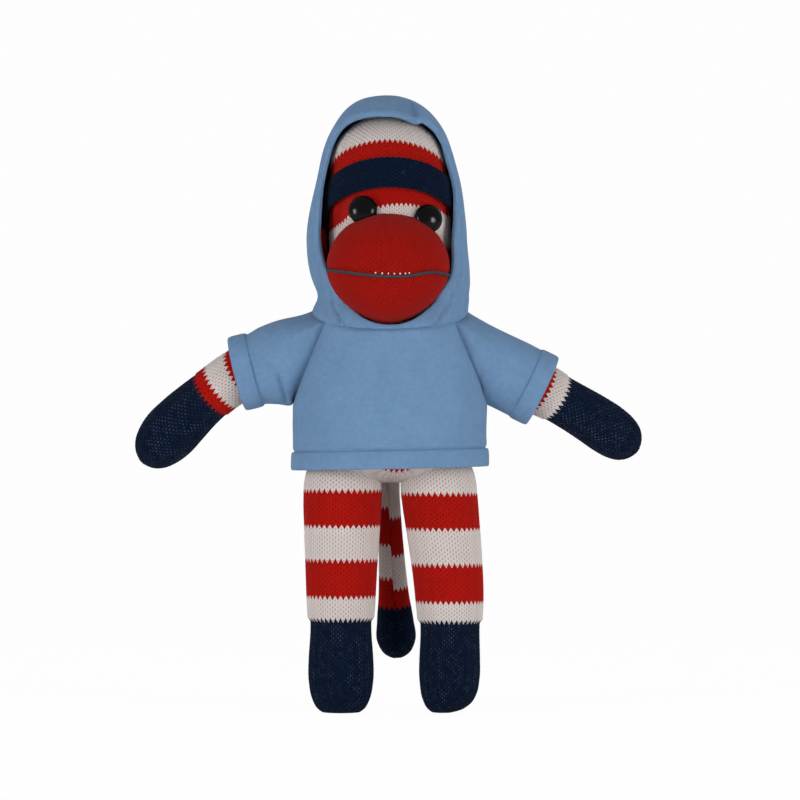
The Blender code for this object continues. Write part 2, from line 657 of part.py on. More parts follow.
def eye_line(head, x, rise):
    """The inward line of an eye's post, square to the head where the eye sits, from its dome's back."""
    height = NECK_HEIGHT + rise
    level = height - NECK_HEIGHT - HEAD_BASE_RISE
    width = np.interp(level, head.along, head.half_side)
    depth = np.interp(level, head.along, head.half_front)
    y = -depth * math.sqrt(1 - (x / width) ** 2)
    lean = np.interp(level, head.along, np.gradient(head.half_front, head.along))
    out = Vector((x / width**2, y / depth**2, 0)).normalized()
    out = (out - UP * lean).normalized()
    seat = Vector((x, y, height)) + out * EYE_STAND_OFF
    return Line([seat, seat - out * EYE_POST_LENGTH], across=UP)


def make_eye(side, line):
    """A domed eye with its post, as one turned piece, and the washer that grips the post."""
    turns = np.linspace(0, math.pi / 2, 5)
    along = list(-EYE_RIM - EYE_DOME * np.cos(turns)) + [0, 0, EYE_POST_LENGTH, EYE_POST_LENGTH]
    sizes = list(EYE_RADIUS * np.sin(turns)) + [EYE_RADIUS, EYE_POST_RADIUS, EYE_POST_RADIUS, 0]
    sizes[0] = 0
    eye = solid(side + "_eye", Form(line, along, sizes, sizes, EYE_SIDES).rings(), GLOSSY_BLACK)
    span = [WASHER_DEPTH, WASHER_DEPTH + WASHER_THICKNESS]
    outer = Form(line, span, [WASHER_RADIUS] * 2, [WASHER_RADIUS] * 2, SMALL_SIDES)
    grip = EYE_POST_RADIUS + FIT_GAP
    inner = Form(line, span, [grip] * 2, [grip] * 2, SMALL_SIDES)
    washer = solid(side + "_eye_washer", outer.rings() + inner.rings()[::-1], WHITE_PLASTIC, loop=True)
    return [eye, washer]


def make_muzzle(muzzle, head, eye_lines):
    """The muzzle's skin and filling, seated on the head and notched under the eyes."""
    seat = solid("muzzle_seat", head.drawn_in(-FIT_GAP).rings(), None)
    skin = cup("muzzle_skin", muzzle, muzzle.drawn_in(KNIT), RED_KNIT, open_first=True)
    filling = solid("muzzle_filling", muzzle.drawn_in(KNIT + FILLING_GAP).coarser().rings(), FIBRE)
    jaw = math.radians(JAW_TILT_DEG)
    base = muzzle.line.frame(muzzle.along[0])[0]
    behind_jaw = half_space("behind_jaw", base, (0, math.cos(jaw), -math.sin(jaw)))
    for thing in (skin, filling):
        boolean(thing, seat)
        boolean(thing, behind_jaw)
    for side, line in eye_lines.items():
        reach = [-EYE_DOME - EYE_RIM - OVERRUN, 0]
        notch = [EYE_RADIUS + FIT_GAP] * 2
        boolean(skin, solid(side + "_eye_notch", Form(line, reach, notch, notch, EYE_SIDES).rings(), None))
        dent = [EYE_RADIUS + FILLING_GAP] * 2
        boolean(filling, solid(side + "_eye_dent", Form(line, reach, dent, dent, SMALL_SIDES).rings(), None))
    return [skin, filling]


def make_mouth(muzzle):
    """The mouth: one run of yarn laid across the muzzle's front, on its surface."""
    turns = np.linspace(-1, 1, 23)
    line = muzzle.line
    points = []
    for turn in turns:
        x = MUZZLE_HALF_WIDTH * math.sin(turn * math.pi / 2) * MOUTH_WIDTH_SHARE
        share = abs(x) / MUZZLE_HALF_WIDTH
        depth = np.interp(-share, [-s for s in MUZZLE_SIZE_SHARES[2:]], MUZZLE_DEPTH_SHARES[2:]) * line.length
        lift = MOUTH_YARN_RADIUS + FIT_GAP
        point, way, _, _ = line.frame(depth)
        out = np.array([math.sin(turn * math.pi / 2), 0, 0]) + way * math.cos(turn * math.pi / 2)
        drop = -MOUTH_SAG_SHARE * MUZZLE_UP * (1 - turn**2)
        points.append(point + np.array([x, 0, drop]) + out * lift)
    curve = bpy.data.curves.new("mouth_stitch", "CURVE")
    curve.dimensions = "3D"
    curve.bevel_depth = MOUTH_YARN_RADIUS
    curve.bevel_resolution = 1
    curve.use_fill_caps = True
    spline = curve.splines.new("POLY")
    spline.points.add(len(points) - 1)
    for knot, point in zip(spline.points, points):
        knot.co = (*point, 1)
    thing = bpy.data.objects.new("mouth_stitch", curve)
    bpy.context.scene.collection.objects.link(thing)
    curve.materials.append(material("mouth_stitch_material", NAVY_YARN))
    return thing


def make_ear(side, outward):
    """A flat stuffed lobe against the side of the head."""
    middle = HEAD_HALF_WIDTH + FIT_GAP + EAR_HALF_THICKNESS
    turns = np.linspace(0, math.pi, 8)
    centre = Vector((outward * middle, 0, NECK_HEIGHT + EAR_RISE))
    line = Line([centre, centre + UP * EAR_HALF_HEIGHT])
    along = -EAR_HALF_HEIGHT * np.cos(turns)
    thick, deep = EAR_HALF_THICKNESS * np.sin(turns), EAR_HALF_DEPTH * np.sin(turns)
    thick[[0, -1]] = deep[[0, -1]] = 0
    return solid(side + "_ear", Form(line, along, thick, deep, SMALL_SIDES).rings(), RED_KNIT)


def make_hat(head):
    """The knitted crown over the head's top and the turned cuff round its rim."""
    rim = NECK_HEIGHT + HAT_RIM_RISE
    crown_in, crown_out = FIT_GAP, FIT_GAP + HAT_KNIT
    cuff_in, cuff_out = crown_out + FIT_GAP, crown_out + FIT_GAP + HAT_CUFF_KNIT
    crown = cup("hat_crown", head.drawn_in(-crown_out), head.drawn_in(-crown_in), WHITE_KNIT, open_first=True)
    rim_point, up_way = along_tilt(rim, -HAT_TILT_DEG)
    below = half_space("below_hat", rim_point, -up_way)
    above = half_space("above_hat_cuff", rim_point + up_way * HAT_CUFF_HEIGHT, up_way)
    boolean(crown, below)
    reach = clipped(head, head.along[2], head.along[-3])
    cuff = band("hat_cuff", reach, cuff_out, cuff_in, NAVY_KNIT)
    boolean(cuff, below)
    boolean(cuff, above)
    return [crown, cuff]


def make_hood(hood):
    """Two hood panels that meet in a centre seam, and the hem casing round the face."""
    neck_point, neck_way = along_tilt(NECKLINE_HEIGHT, NECKLINE_TILT_DEG)
    below = half_space("below_hood", neck_point + neck_way * FIT_GAP, -neck_way)
    wide_face = face_cutter("face_for_panels", CASING_WIDTH + FIT_GAP)
    panels = []
    for side, outward in (("left", 1), ("right", -1)):
        panel = cup(f"hood_{side}_panel", hood, hood.drawn_in(FLEECE), BLUE_FLEECE, open_first=True)
        boolean(panel, below)
        boolean(panel, wide_face)
        seam = RIGHT * outward * FIT_GAP / 2
        boolean(panel, half_space(f"past_{side}_panel", -seam, seam))
        panels.append(panel)
    casing = cup("hood_hem", hood.drawn_in(-HEM_PROUD), hood.drawn_in(FLEECE), BLUE_FLEECE, open_first=True)
    boolean(casing, below)
    boolean(casing, face_cutter("face", 0))
    boolean(casing, face_cutter("casing_edge", CASING_WIDTH), "INTERSECT")
    return panels + [casing]


def raglan_cutter(name, outward, shift, keep_sleeve):
    """A half space on one side of a raglan seam, which runs from the neckline down to the underarm."""
    slope = math.radians(RAGLAN_SLOPE_DEG)
    top = Vector((outward * (RAGLAN_TOP_OUT + shift), 0, NECKLINE_HEIGHT - FLEECE * 2))
    out = Vector((outward * math.cos(slope), 0, math.sin(slope)))
    return half_space(name, top, out if keep_sleeve else -out)


def sleeve_form(outward, lengths, slopes, shoulder_height):
    """A sleeve's form, from inside the body to the cuff's seam, and the cuff's beyond it."""
    start = Vector((outward * (SHOULDER_OUT - lengths[0]), 0, shoulder_height - SLEEVE_CENTRE_DROP))
    line = Line(bones(start, lengths, slopes, outward, ARM_BACK_DEG / 2))
    return Form(
        line,
        [line.length * s for s in SLEEVE_STATION_SHARES],
        [SLEEVE_HALF_HEIGHT * s for s in SLEEVE_SHARES],
        [SLEEVE_HALF_DEPTH * s for s in SLEEVE_SHARES],
        SLEEVE_SIDES,
    )


def make_sleeve(side, outward, form, body, body_hollow, above_neck):
    """A raglan sleeve with the shoulder's cap, and its turned cuff."""
    hollow = form.drawn_in(FLEECE)
    hollow.along = hollow.along + np.array([0] * (len(hollow.along) - 1) + [CUFF_WIDTH])
    hollow.along[0] -= FLEECE
    bore = solid(side + "_sleeve_bore", hollow.rings(), None)
    sleeve = solid(side + "_sleeve", form.rings(), BLUE_FLEECE)
    boolean(sleeve, body, "UNION")
    boolean(sleeve, body_hollow)
    boolean(sleeve, bore)
    boolean(sleeve, raglan_cutter(side + "_sleeve_side", outward, FIT_GAP, False))
    boolean(sleeve, above_neck)
    end = form.line.length
    cuff_form = Form(
        form.line, [end + FIT_GAP, end + CUFF_WIDTH / 2, end + CUFF_WIDTH],
        [form.half_side[-1]] * 3, [form.half_front[-1]] * 3, form.sides,
    )
    cuff = band(side + "_cuff", cuff_form, CUFF_PROUD, -FLEECE, BLUE_FLEECE)
    return sleeve, cuff, bore


def main():
    for thing in list(bpy.data.objects):
        bpy.data.objects.remove(thing)

    torso, head, muzzle, hoodie, hood = torso_form(), head_form(), muzzle_form(), hoodie_form(), hood_form()
    neck_centre = Vector((0, NECK_BACK, NECK_HEIGHT))
    root = pivot("doll", Vector())
    sockets = [ball("neck_socket", neck_centre, NECK_WAD_RADIUS + SOCKET_GAP)]

    # Legs
    legs = (
        ("left", -1, LEFT_HIP_OUT, LEFT_LEG_ROOT_RADIUS, LEFT_LEG_OUT, LEFT_LEG_RADII, 0),
        ("right", 1, RIGHT_HIP_OUT, RIGHT_LEG_ROOT_RADIUS, RIGHT_LEG_OUT, RIGHT_LEG_RADII, RIGHT_TOE_SLANT),
    )
    for side, outward, hip_out, root_radius, leg_out, radii, slant in legs:
        hip, form = leg_form(outward, hip_out, root_radius, leg_out, radii)
        pieces = stuffed_limb(side + "_leg", form, HIP_WAD_RADIUS, RED_KNIT)
        slant_toe(*pieces, hip.x, slant)
        cut_sole(pieces[0])
        wad = ball(side + "_hip_wad", hip, HIP_WAD_RADIUS, FIBRE, SMALL_SIDES)
        splay_at = pivot(side + "_hip", hip, root)
        sit_at = pivot(side + "_leg", hip, splay_at)
        hang([wad], splay_at)
        hang(pieces, sit_at)
        ways = []
        for splay in (0, SPLAY_OUT_DEG):
            for sit in (-KICK_BACK_DEG, 0, SIT_DEG):
                turn = Matrix.Rotation(math.radians(-outward * splay), 3, "Y")
                ways.append(turn @ Matrix.Rotation(math.radians(-sit), 3, "X") @ -UP)
        sockets.append(hull(side + "_hip_socket", swept(hip, root_radius + SOCKET_GAP, root_radius, ways)))

    # Arms
    arms = (
        ("left", -1, LEFT_SHOULDER_HEIGHT, LEFT_ARM_LENGTHS, LEFT_ARM_SLOPES_DEG, LEFT_ARM_RADII),
        ("right", 1, RIGHT_SHOULDER_HEIGHT, RIGHT_ARM_LENGTHS, RIGHT_ARM_SLOPES_DEG, RIGHT_ARM_RADII),
    )
    arm_pivots = {}
    for side, outward, height, lengths, slopes, radii in arms:
        shoulder = Vector((outward * SHOULDER_OUT, 0, height))
        line = Line(bones(shoulder, lengths, slopes, outward, ARM_BACK_DEG))
        form = limb_form(line, ARM_ROOT_RADIUS, ARM_STATION_SHARES, radii, ARM_SIDES)
        pieces = stuffed_limb(side + "_arm", form, SHOULDER_WAD_RADIUS, NAVY_KNIT)
        wad = ball(side + "_shoulder_wad", shoulder, SHOULDER_WAD_RADIUS, FIBRE, SMALL_SIDES)
        raise_at = pivot(side + "_shoulder", shoulder, root)
        arm_pivots[side] = pivot(side + "_arm", shoulder, raise_at)
        hang([wad], raise_at)
        hang(pieces, arm_pivots[side])
        ways = []
        first = Vector(line.frame(0)[1])
        swing_axis = first.cross(FRONT)
        for lift in (-ARM_LOWER_DEG, 0, ARM_RAISE_DEG):
            raised = Matrix.Rotation(math.radians(-outward * lift), 3, "Y")
            for swing in (-ARM_BACKWARD_DEG, 0, ARM_FORWARD_DEG):
                ways.append(raised @ Matrix.Rotation(math.radians(swing), 3, swing_axis) @ first)
        reach = swept(shoulder, ARM_ROOT_RADIUS + SOCKET_GAP, ARM_ROOT_RADIUS, ways)
        sockets.append(hull(side + "_shoulder_socket", reach))

    # Tail
    tail_centre = Vector((0, TAIL_ROOT_BACK, TAIL_ROOT_HEIGHT))
    back, aside = math.radians(TAIL_BACK_DEG), math.radians(TAIL_SIDE_DEG)
    hang_way = Vector((math.sin(aside), math.sin(back), -math.cos(back))).normalized()
    line = Line([tail_centre, tail_centre + hang_way * TAIL_LENGTH / 2, tail_centre + hang_way * TAIL_LENGTH])
    form = limb_form(line, TAIL_ROOT_RADIUS, TAIL_STATION_SHARES, TAIL_RADII, TAIL_SIDES)
    tail = stuffed_limb("tail", form, TAIL_WAD_RADIUS, RED_KNIT)
    lift_at = pivot("tail_root", tail_centre, root)
    sway_at = pivot("tail", tail_centre, lift_at)
    hang([ball("tail_wad", tail_centre, TAIL_WAD_RADIUS, FIBRE, SMALL_SIDES)], lift_at)
    hang(tail, sway_at)
    ways = []
    for lift in (0, TAIL_LIFT_DEG):
        for sway in (-TAIL_SWAY_DEG, TAIL_SWAY_DEG):
            way = Matrix.Rotation(math.radians(sway), 3, "Y") @ hang_way
            ways.append(Matrix.Rotation(math.radians(lift), 3, "X") @ way)
    reach = swept(tail_centre, TAIL_ROOT_RADIUS + SOCKET_GAP, TAIL_TIP_RADIUS, ways)
    sockets.append(hull("tail_socket", reach))

    hang(make_torso(torso, sockets), root)

    # Neck and head
    nod_at = pivot("neck", neck_centre, root)
    turn_at = pivot("head", neck_centre, nod_at)
    wad = ball("neck_wad", neck_centre, NECK_WAD_RADIUS, FIBRE, SMALL_SIDES)
    tie_size = NECK_WAD_RADIUS + SOCKET_GAP + NECK_TIE_RADIUS
    mesh = bmesh.new()
    bmesh.ops.create_circle(mesh, segments=6, radius=NECK_TIE_RADIUS)
    bmesh.ops.rotate(mesh, verts=mesh.verts, matrix=Matrix.Rotation(math.pi / 2, 3, "X"))
    section = [v.co + RIGHT * tie_size for v in mesh.verts]
    mesh.free()
    spins = [Matrix.Rotation(math.tau * i / BALL_SIDES, 3, "Z") for i in range(BALL_SIDES)]
    rings = [np.array([neck_centre + spin @ point for spin in spins]) for point in section]
    tie = solid("neck_tie", rings, NAVY_YARN, loop=True)
    hang([wad], nod_at)
    hang([tie], root)
    eyes = {
        "left": eye_line(head, LEFT_EYE_X, LEFT_EYE_RISE),
        "right": eye_line(head, RIGHT_EYE_X, RIGHT_EYE_RISE),
    }
    on_head = make_head(head, eyes, neck_centre) + make_muzzle(muzzle, head, eyes)
    on_head += make_hat(head) + make_hood(hood)
    for side, outward in (("left", -1), ("right", 1)):
        on_head += make_eye(side, eyes[side])
        on_head.append(make_ear(side, outward))
    hang(on_head + [make_mouth(muzzle)], turn_at)

    # Hoodie
    neck_point, neck_way = along_tilt(NECKLINE_HEIGHT, NECKLINE_TILT_DEG)
    above_neck = half_space("above_neckline", neck_point, neck_way)
    hem_top = HEM_HEIGHT + FIT_GAP
    body_outer = clipped(hoodie, hem_top, hoodie.along[-1])
    body_inner = clipped(hoodie.drawn_in(FLEECE), 0, hoodie.along[-1])
    body_inner.along[-1] += FLEECE
    body = solid("hoodie_body", body_outer.rings(), BLUE_FLEECE)
    outer = solid("hoodie_outside", body_outer.rings(), None)
    hollow = solid("hoodie_hollow", body_inner.rings(), None)
    boolean(body, hollow)
    sleeves = (
        ("left", -1, LEFT_SLEEVE_LENGTHS, LEFT_SLEEVE_SLOPES_DEG, LEFT_SHOULDER_HEIGHT),
        ("right", 1, RIGHT_SLEEVE_LENGTHS, RIGHT_SLEEVE_SLOPES_DEG, RIGHT_SHOULDER_HEIGHT),
    )
    for side, outward, lengths, slopes, height in sleeves:
        form = sleeve_form(outward, lengths, slopes, height)
        sleeve, cuff, bore = make_sleeve(side, outward, form, outer, hollow, above_neck)
        hang([sleeve, cuff], arm_pivots[side])
        boolean(body, bore)
        boolean(body, raglan_cutter(side + "_body_side", outward, 0, True))
    boolean(body, above_neck)
    hem = band("hoodie_hem", clipped(hoodie, 0, HEM_HEIGHT), HEM_PROUD, -FLEECE, BLUE_FLEECE)
    hang([body, hem], root)


main()
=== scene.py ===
# %% [markdown]
# # A hooded sock monkey doll
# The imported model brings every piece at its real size, with the joints that move it. This lesson dresses
# those pieces: knitted skins with real stitches, a fleece jacket with its hood, glossy eyes and a yarn
# mouth. Every surface is a formula on a grid of points, so that each can be read, changed and measured.

# %% Load the fixed frame
import json
import math

import bmesh
import bpy
import numpy as np
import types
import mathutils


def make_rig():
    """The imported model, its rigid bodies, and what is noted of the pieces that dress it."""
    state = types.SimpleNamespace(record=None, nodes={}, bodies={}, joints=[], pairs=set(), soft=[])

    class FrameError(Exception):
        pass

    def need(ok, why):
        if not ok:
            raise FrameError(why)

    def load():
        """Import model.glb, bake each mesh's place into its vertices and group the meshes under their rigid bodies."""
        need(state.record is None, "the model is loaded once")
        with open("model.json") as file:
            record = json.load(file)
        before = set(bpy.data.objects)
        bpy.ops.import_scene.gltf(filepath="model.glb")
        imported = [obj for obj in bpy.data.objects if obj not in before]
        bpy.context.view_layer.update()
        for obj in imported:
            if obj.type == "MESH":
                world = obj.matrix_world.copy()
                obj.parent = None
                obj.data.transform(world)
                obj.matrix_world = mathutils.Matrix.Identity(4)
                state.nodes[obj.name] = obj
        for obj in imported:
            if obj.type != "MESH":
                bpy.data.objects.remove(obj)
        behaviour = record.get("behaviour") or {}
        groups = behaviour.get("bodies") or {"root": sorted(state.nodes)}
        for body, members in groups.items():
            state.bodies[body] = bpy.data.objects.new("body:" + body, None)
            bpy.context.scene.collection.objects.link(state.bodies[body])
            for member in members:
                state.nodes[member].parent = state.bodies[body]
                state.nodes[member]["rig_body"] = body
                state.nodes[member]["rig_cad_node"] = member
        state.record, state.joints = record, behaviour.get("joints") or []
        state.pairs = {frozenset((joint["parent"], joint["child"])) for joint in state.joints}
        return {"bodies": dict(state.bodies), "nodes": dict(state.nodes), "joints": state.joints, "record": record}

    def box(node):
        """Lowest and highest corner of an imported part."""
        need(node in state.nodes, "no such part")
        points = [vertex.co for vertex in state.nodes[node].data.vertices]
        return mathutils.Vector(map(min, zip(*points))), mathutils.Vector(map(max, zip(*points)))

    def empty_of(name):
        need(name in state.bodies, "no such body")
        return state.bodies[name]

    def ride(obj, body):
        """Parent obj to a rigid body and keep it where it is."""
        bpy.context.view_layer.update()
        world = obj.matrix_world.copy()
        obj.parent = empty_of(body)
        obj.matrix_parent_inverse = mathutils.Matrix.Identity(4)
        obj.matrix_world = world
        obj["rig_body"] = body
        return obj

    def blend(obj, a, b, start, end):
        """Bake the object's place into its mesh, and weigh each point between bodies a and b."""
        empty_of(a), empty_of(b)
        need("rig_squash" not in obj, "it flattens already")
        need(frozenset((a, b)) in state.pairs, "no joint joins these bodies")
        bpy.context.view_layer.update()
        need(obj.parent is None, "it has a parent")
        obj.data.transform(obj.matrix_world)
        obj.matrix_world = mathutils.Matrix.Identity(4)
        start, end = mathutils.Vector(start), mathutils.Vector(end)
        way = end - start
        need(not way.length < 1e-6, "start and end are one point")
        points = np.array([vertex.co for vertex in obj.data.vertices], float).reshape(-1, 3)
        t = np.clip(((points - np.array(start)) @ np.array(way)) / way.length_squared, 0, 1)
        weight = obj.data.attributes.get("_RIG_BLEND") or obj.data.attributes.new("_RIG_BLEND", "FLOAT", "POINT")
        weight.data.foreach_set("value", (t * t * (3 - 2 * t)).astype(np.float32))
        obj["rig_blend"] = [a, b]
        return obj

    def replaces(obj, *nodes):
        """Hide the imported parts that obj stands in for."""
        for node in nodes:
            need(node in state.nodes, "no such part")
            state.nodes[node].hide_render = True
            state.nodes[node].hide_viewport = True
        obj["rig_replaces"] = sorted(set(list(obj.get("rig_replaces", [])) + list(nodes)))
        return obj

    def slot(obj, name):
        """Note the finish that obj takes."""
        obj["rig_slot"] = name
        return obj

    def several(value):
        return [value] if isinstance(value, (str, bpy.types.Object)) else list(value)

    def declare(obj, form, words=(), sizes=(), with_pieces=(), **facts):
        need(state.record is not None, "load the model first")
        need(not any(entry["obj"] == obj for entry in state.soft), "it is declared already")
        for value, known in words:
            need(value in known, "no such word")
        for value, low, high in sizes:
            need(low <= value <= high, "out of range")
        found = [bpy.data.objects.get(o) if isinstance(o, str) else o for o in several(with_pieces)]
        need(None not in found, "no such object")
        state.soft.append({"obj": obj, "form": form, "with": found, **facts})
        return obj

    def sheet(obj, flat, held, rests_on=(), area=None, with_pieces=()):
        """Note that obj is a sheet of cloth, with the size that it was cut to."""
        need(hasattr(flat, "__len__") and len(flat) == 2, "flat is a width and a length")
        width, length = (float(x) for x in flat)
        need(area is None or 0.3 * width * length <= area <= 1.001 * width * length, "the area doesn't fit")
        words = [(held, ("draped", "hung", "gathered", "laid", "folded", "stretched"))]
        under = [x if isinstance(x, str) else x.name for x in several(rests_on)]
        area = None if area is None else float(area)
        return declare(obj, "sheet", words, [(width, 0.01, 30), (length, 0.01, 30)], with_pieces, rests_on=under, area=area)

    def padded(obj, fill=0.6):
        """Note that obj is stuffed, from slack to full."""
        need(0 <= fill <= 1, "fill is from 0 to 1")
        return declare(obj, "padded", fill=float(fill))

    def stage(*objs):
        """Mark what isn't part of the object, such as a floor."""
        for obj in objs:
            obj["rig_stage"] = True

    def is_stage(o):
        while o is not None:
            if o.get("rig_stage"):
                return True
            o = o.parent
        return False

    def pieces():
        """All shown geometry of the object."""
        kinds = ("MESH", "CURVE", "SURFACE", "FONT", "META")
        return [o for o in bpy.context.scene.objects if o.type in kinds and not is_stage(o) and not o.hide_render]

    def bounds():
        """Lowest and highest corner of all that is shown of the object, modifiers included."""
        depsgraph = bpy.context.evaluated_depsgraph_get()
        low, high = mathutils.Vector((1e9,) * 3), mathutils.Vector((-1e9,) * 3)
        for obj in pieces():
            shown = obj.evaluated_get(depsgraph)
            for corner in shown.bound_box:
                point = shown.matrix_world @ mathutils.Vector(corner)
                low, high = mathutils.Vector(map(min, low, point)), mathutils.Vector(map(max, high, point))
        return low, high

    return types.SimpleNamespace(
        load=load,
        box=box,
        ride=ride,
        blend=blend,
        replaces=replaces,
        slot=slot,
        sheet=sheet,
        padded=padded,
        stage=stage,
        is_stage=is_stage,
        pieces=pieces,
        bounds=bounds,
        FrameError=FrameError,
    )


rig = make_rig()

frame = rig.load()
cad_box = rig.bounds()
MM = 0.001
print("bodies:", ", ".join(sorted(frame["bodies"])))

# %% [markdown]
# ## The camera
# The photograph was taken level and from the front. A long lens far away keeps the proportions flat, as
# they are there. One photo pixel is 0.445 mm on the doll, which gives the width that the frame has to
# cover.

# %% Camera
PHOTO_SIZE = 800
PHOTO_PIXEL = 0.445 * MM
PHOTO_MIDDLE = 390
PHOTO_GROUND = 712
CAMERA_AWAY = 2.0
SENSOR_MM = 36

lens = bpy.data.cameras.new("camera")
lens.sensor_width = SENSOR_MM
lens.lens = SENSOR_MM * CAMERA_AWAY / (PHOTO_SIZE * PHOTO_PIXEL)
lens.clip_end = 10 * CAMERA_AWAY
camera = bpy.data.objects.new("camera", lens)
bpy.context.scene.collection.objects.link(camera)
camera.location = (
    (PHOTO_SIZE / 2 - PHOTO_MIDDLE) * PHOTO_PIXEL,
    -CAMERA_AWAY,
    (PHOTO_GROUND - PHOTO_SIZE / 2) * PHOTO_PIXEL,
)
camera.rotation_euler = (math.pi / 2, 0, 0)
bpy.context.scene.camera = camera
print("lens", round(lens.lens), "mm")

# %% [markdown]
# ## Shader maths
# A stitch pattern is arithmetic on the surface's own coordinates. Writing it with plain Python operators is
# far easier to read than a page of Math nodes, so one small class turns each operator into its node.

# %% Shader maths class
class Wire:
    """A socket in a material. Arithmetic on it adds the Math nodes that do the same."""

    def __init__(self, tree, socket):
        self.tree = tree
        self.socket = socket

    def math(self, operation, *values):
        found = self.tree.nodes.new("ShaderNodeMath")
        found.operation = operation
        for slot, value in zip(found.inputs, values):
            plug(self.tree, slot, value)
        return Wire(self.tree, found.outputs[0])

    def __add__(self, other):
        return self.math("ADD", self, other)

    def __sub__(self, other):
        return self.math("SUBTRACT", self, other)

    def __rsub__(self, other):
        return self.math("SUBTRACT", other, self)

    def __mul__(self, other):
        return self.math("MULTIPLY", self, other)

    def __truediv__(self, other):
        return self.math("DIVIDE", self, other)

    def __ge__(self, other):
        return 1 - self.math("LESS_THAN", self, other)

    __radd__ = __add__
    __rmul__ = __mul__

    def fraction(self):
        return self.math("FRACT", self)

    def floor(self):
        return self.math("FLOOR", self)

    def size(self):
        return self.math("ABSOLUTE", self)

    def clipped(self):
        return self.math("MINIMUM", self.math("MAXIMUM", self, 0), 1)

    def power(self, exponent):
        return self.math("POWER", self, exponent)

    def cosine(self):
        return self.math("COSINE", self)


def plug(tree, slot, value):
    """Link a Wire into a socket, or set the socket to a plain value."""
    if isinstance(value, Wire):
        tree.links.new(value.socket, slot)
    elif isinstance(value, tuple) and len(value) == 3 and len(slot.default_value) == 4:
        slot.default_value = (*value, 1)
    else:
        slot.default_value = value


class Finish:
    """A material with one Principled BSDF, and short ways to add the nodes that feed it."""

    def __init__(self, name, roughness, **settings):
        self.material = bpy.data.materials.new(name)
        self.material.use_nodes = True
        self.tree = self.material.node_tree
        self.surface = self.tree.nodes["Principled BSDF"]
        self.feed("Roughness", roughness)
        for socket, value in settings.items():
            self.feed(socket.replace("_", " "), value)

    def node(self, kind, settings=None, values=None, output=0):
        """Any node: its settings first, then the values or links of its sockets, by name or number."""
        found = self.tree.nodes.new("ShaderNode" + kind)
        for name, value in (settings or {}).items():
            setattr(found, name, value)
        for slot, value in (values or {}).items():
            plug(self.tree, found.inputs[slot], value)
        return Wire(self.tree, found.outputs[output])

    def mix(self, amount, first, second):
        """A colour on the way from first to second."""
        found = self.tree.nodes.new("ShaderNodeMix")
        found.data_type = "RGBA"
        plug(self.tree, found.inputs[0], amount)
        plug(self.tree, found.inputs[6], first)
        plug(self.tree, found.inputs[7], second)
        return Wire(self.tree, found.outputs[2])

    def noise(self, scale, where="Object", detail=2.0, stretch=(1, 1, 1)):
        """Noise on the piece's own coordinates, in cells of 1/scale metres, from 0 to 1."""
        spot = self.node("TexCoord", output=where)
        spot = self.node("Mapping", values={"Vector": spot, "Scale": stretch})
        return self.node("TexNoise", values={"Vector": spot, "Scale": scale, "Detail": detail})

    def feed(self, socket, value):
        plug(self.tree, self.surface.inputs[socket], value)

    def bump(self, height, distance, strength=1.0):
        relief = self.node("Bump", values={"Height": height, "Distance": distance, "Strength": strength})
        self.feed("Normal", relief)


# %% [markdown]
# ## Grids, curves and meshes
# A soft form is a smooth profile of given stations, carried along a centreline. The curve through the
# stations is a Catmull-Rom spline on the distance between them, because it passes each station exactly and
# doesn't swing where they are unevenly spaced. A ghost station beyond a closed end, with its radius
# negative, makes the end round instead of pointed.

# %% Smooth curves
def through(points, count, before=None, after=None):
    """A smooth curve through points, sampled at count equal steps along it.
    Each stretch is the cubic whose slopes at its ends are the mean slopes of the stretches beside them."""
    knots = np.array(points, float)
    first = 2 * knots[0] - knots[1] if before is None else before
    last = 2 * knots[-1] - knots[-2] if after is None else after
    knots = np.vstack([first, knots, last])
    at = np.concatenate([[0], np.cumsum(np.linalg.norm(np.diff(knots, axis=0), axis=1))])
    slopes = np.gradient(knots, at, axis=0)
    fine = np.linspace(at[1], at[-2], 40 * len(points))
    low = np.clip(np.searchsorted(at, fine, side="right") - 1, 1, len(at) - 3)
    step = (at[low + 1] - at[low])[:, None]
    t = ((fine - at[low]) / step[:, 0])[:, None]
    curve = (
        knots[low] * (1 + 2 * t) * (1 - t) ** 2
        + knots[low + 1] * t**2 * (3 - 2 * t)
        + slopes[low] * step * t * (1 - t) ** 2
        + slopes[low + 1] * step * t**2 * (t - 1)
    )
    return evenly(curve, count)


def evenly(curve, count):
    """The same curve, sampled at count equal steps of its own length."""
    along = lengths(curve)
    return read(np.linspace(0, along[-1], count), along, curve)


def read(wanted, known, table, period=None):
    """Every column of a table at the wanted places, where its rows stand at the known ones."""
    return np.stack([np.interp(wanted, known, column, period=period) for column in table.T], -1)


def lengths(curve):
    """The distance along a curve at each of its points."""
    return np.concatenate([[0], np.cumsum(np.linalg.norm(np.diff(curve, axis=0), axis=1))])


def ease(value, start, end):
    """0 before start, 1 after end, and a smooth step between."""
    t = np.clip((value - start) / (end - start), 0, 1)
    return t * t * (3 - 2 * t)


def beside(distance, reach=1.0 * MM):
    """1 at a seam, fading out within a few times reach of it."""
    return np.exp(-((distance / reach) ** 2))


def full_turn(count):
    """Angles at equal steps once round, without the last, which would be the first again."""
    return np.arange(count) / count * math.tau


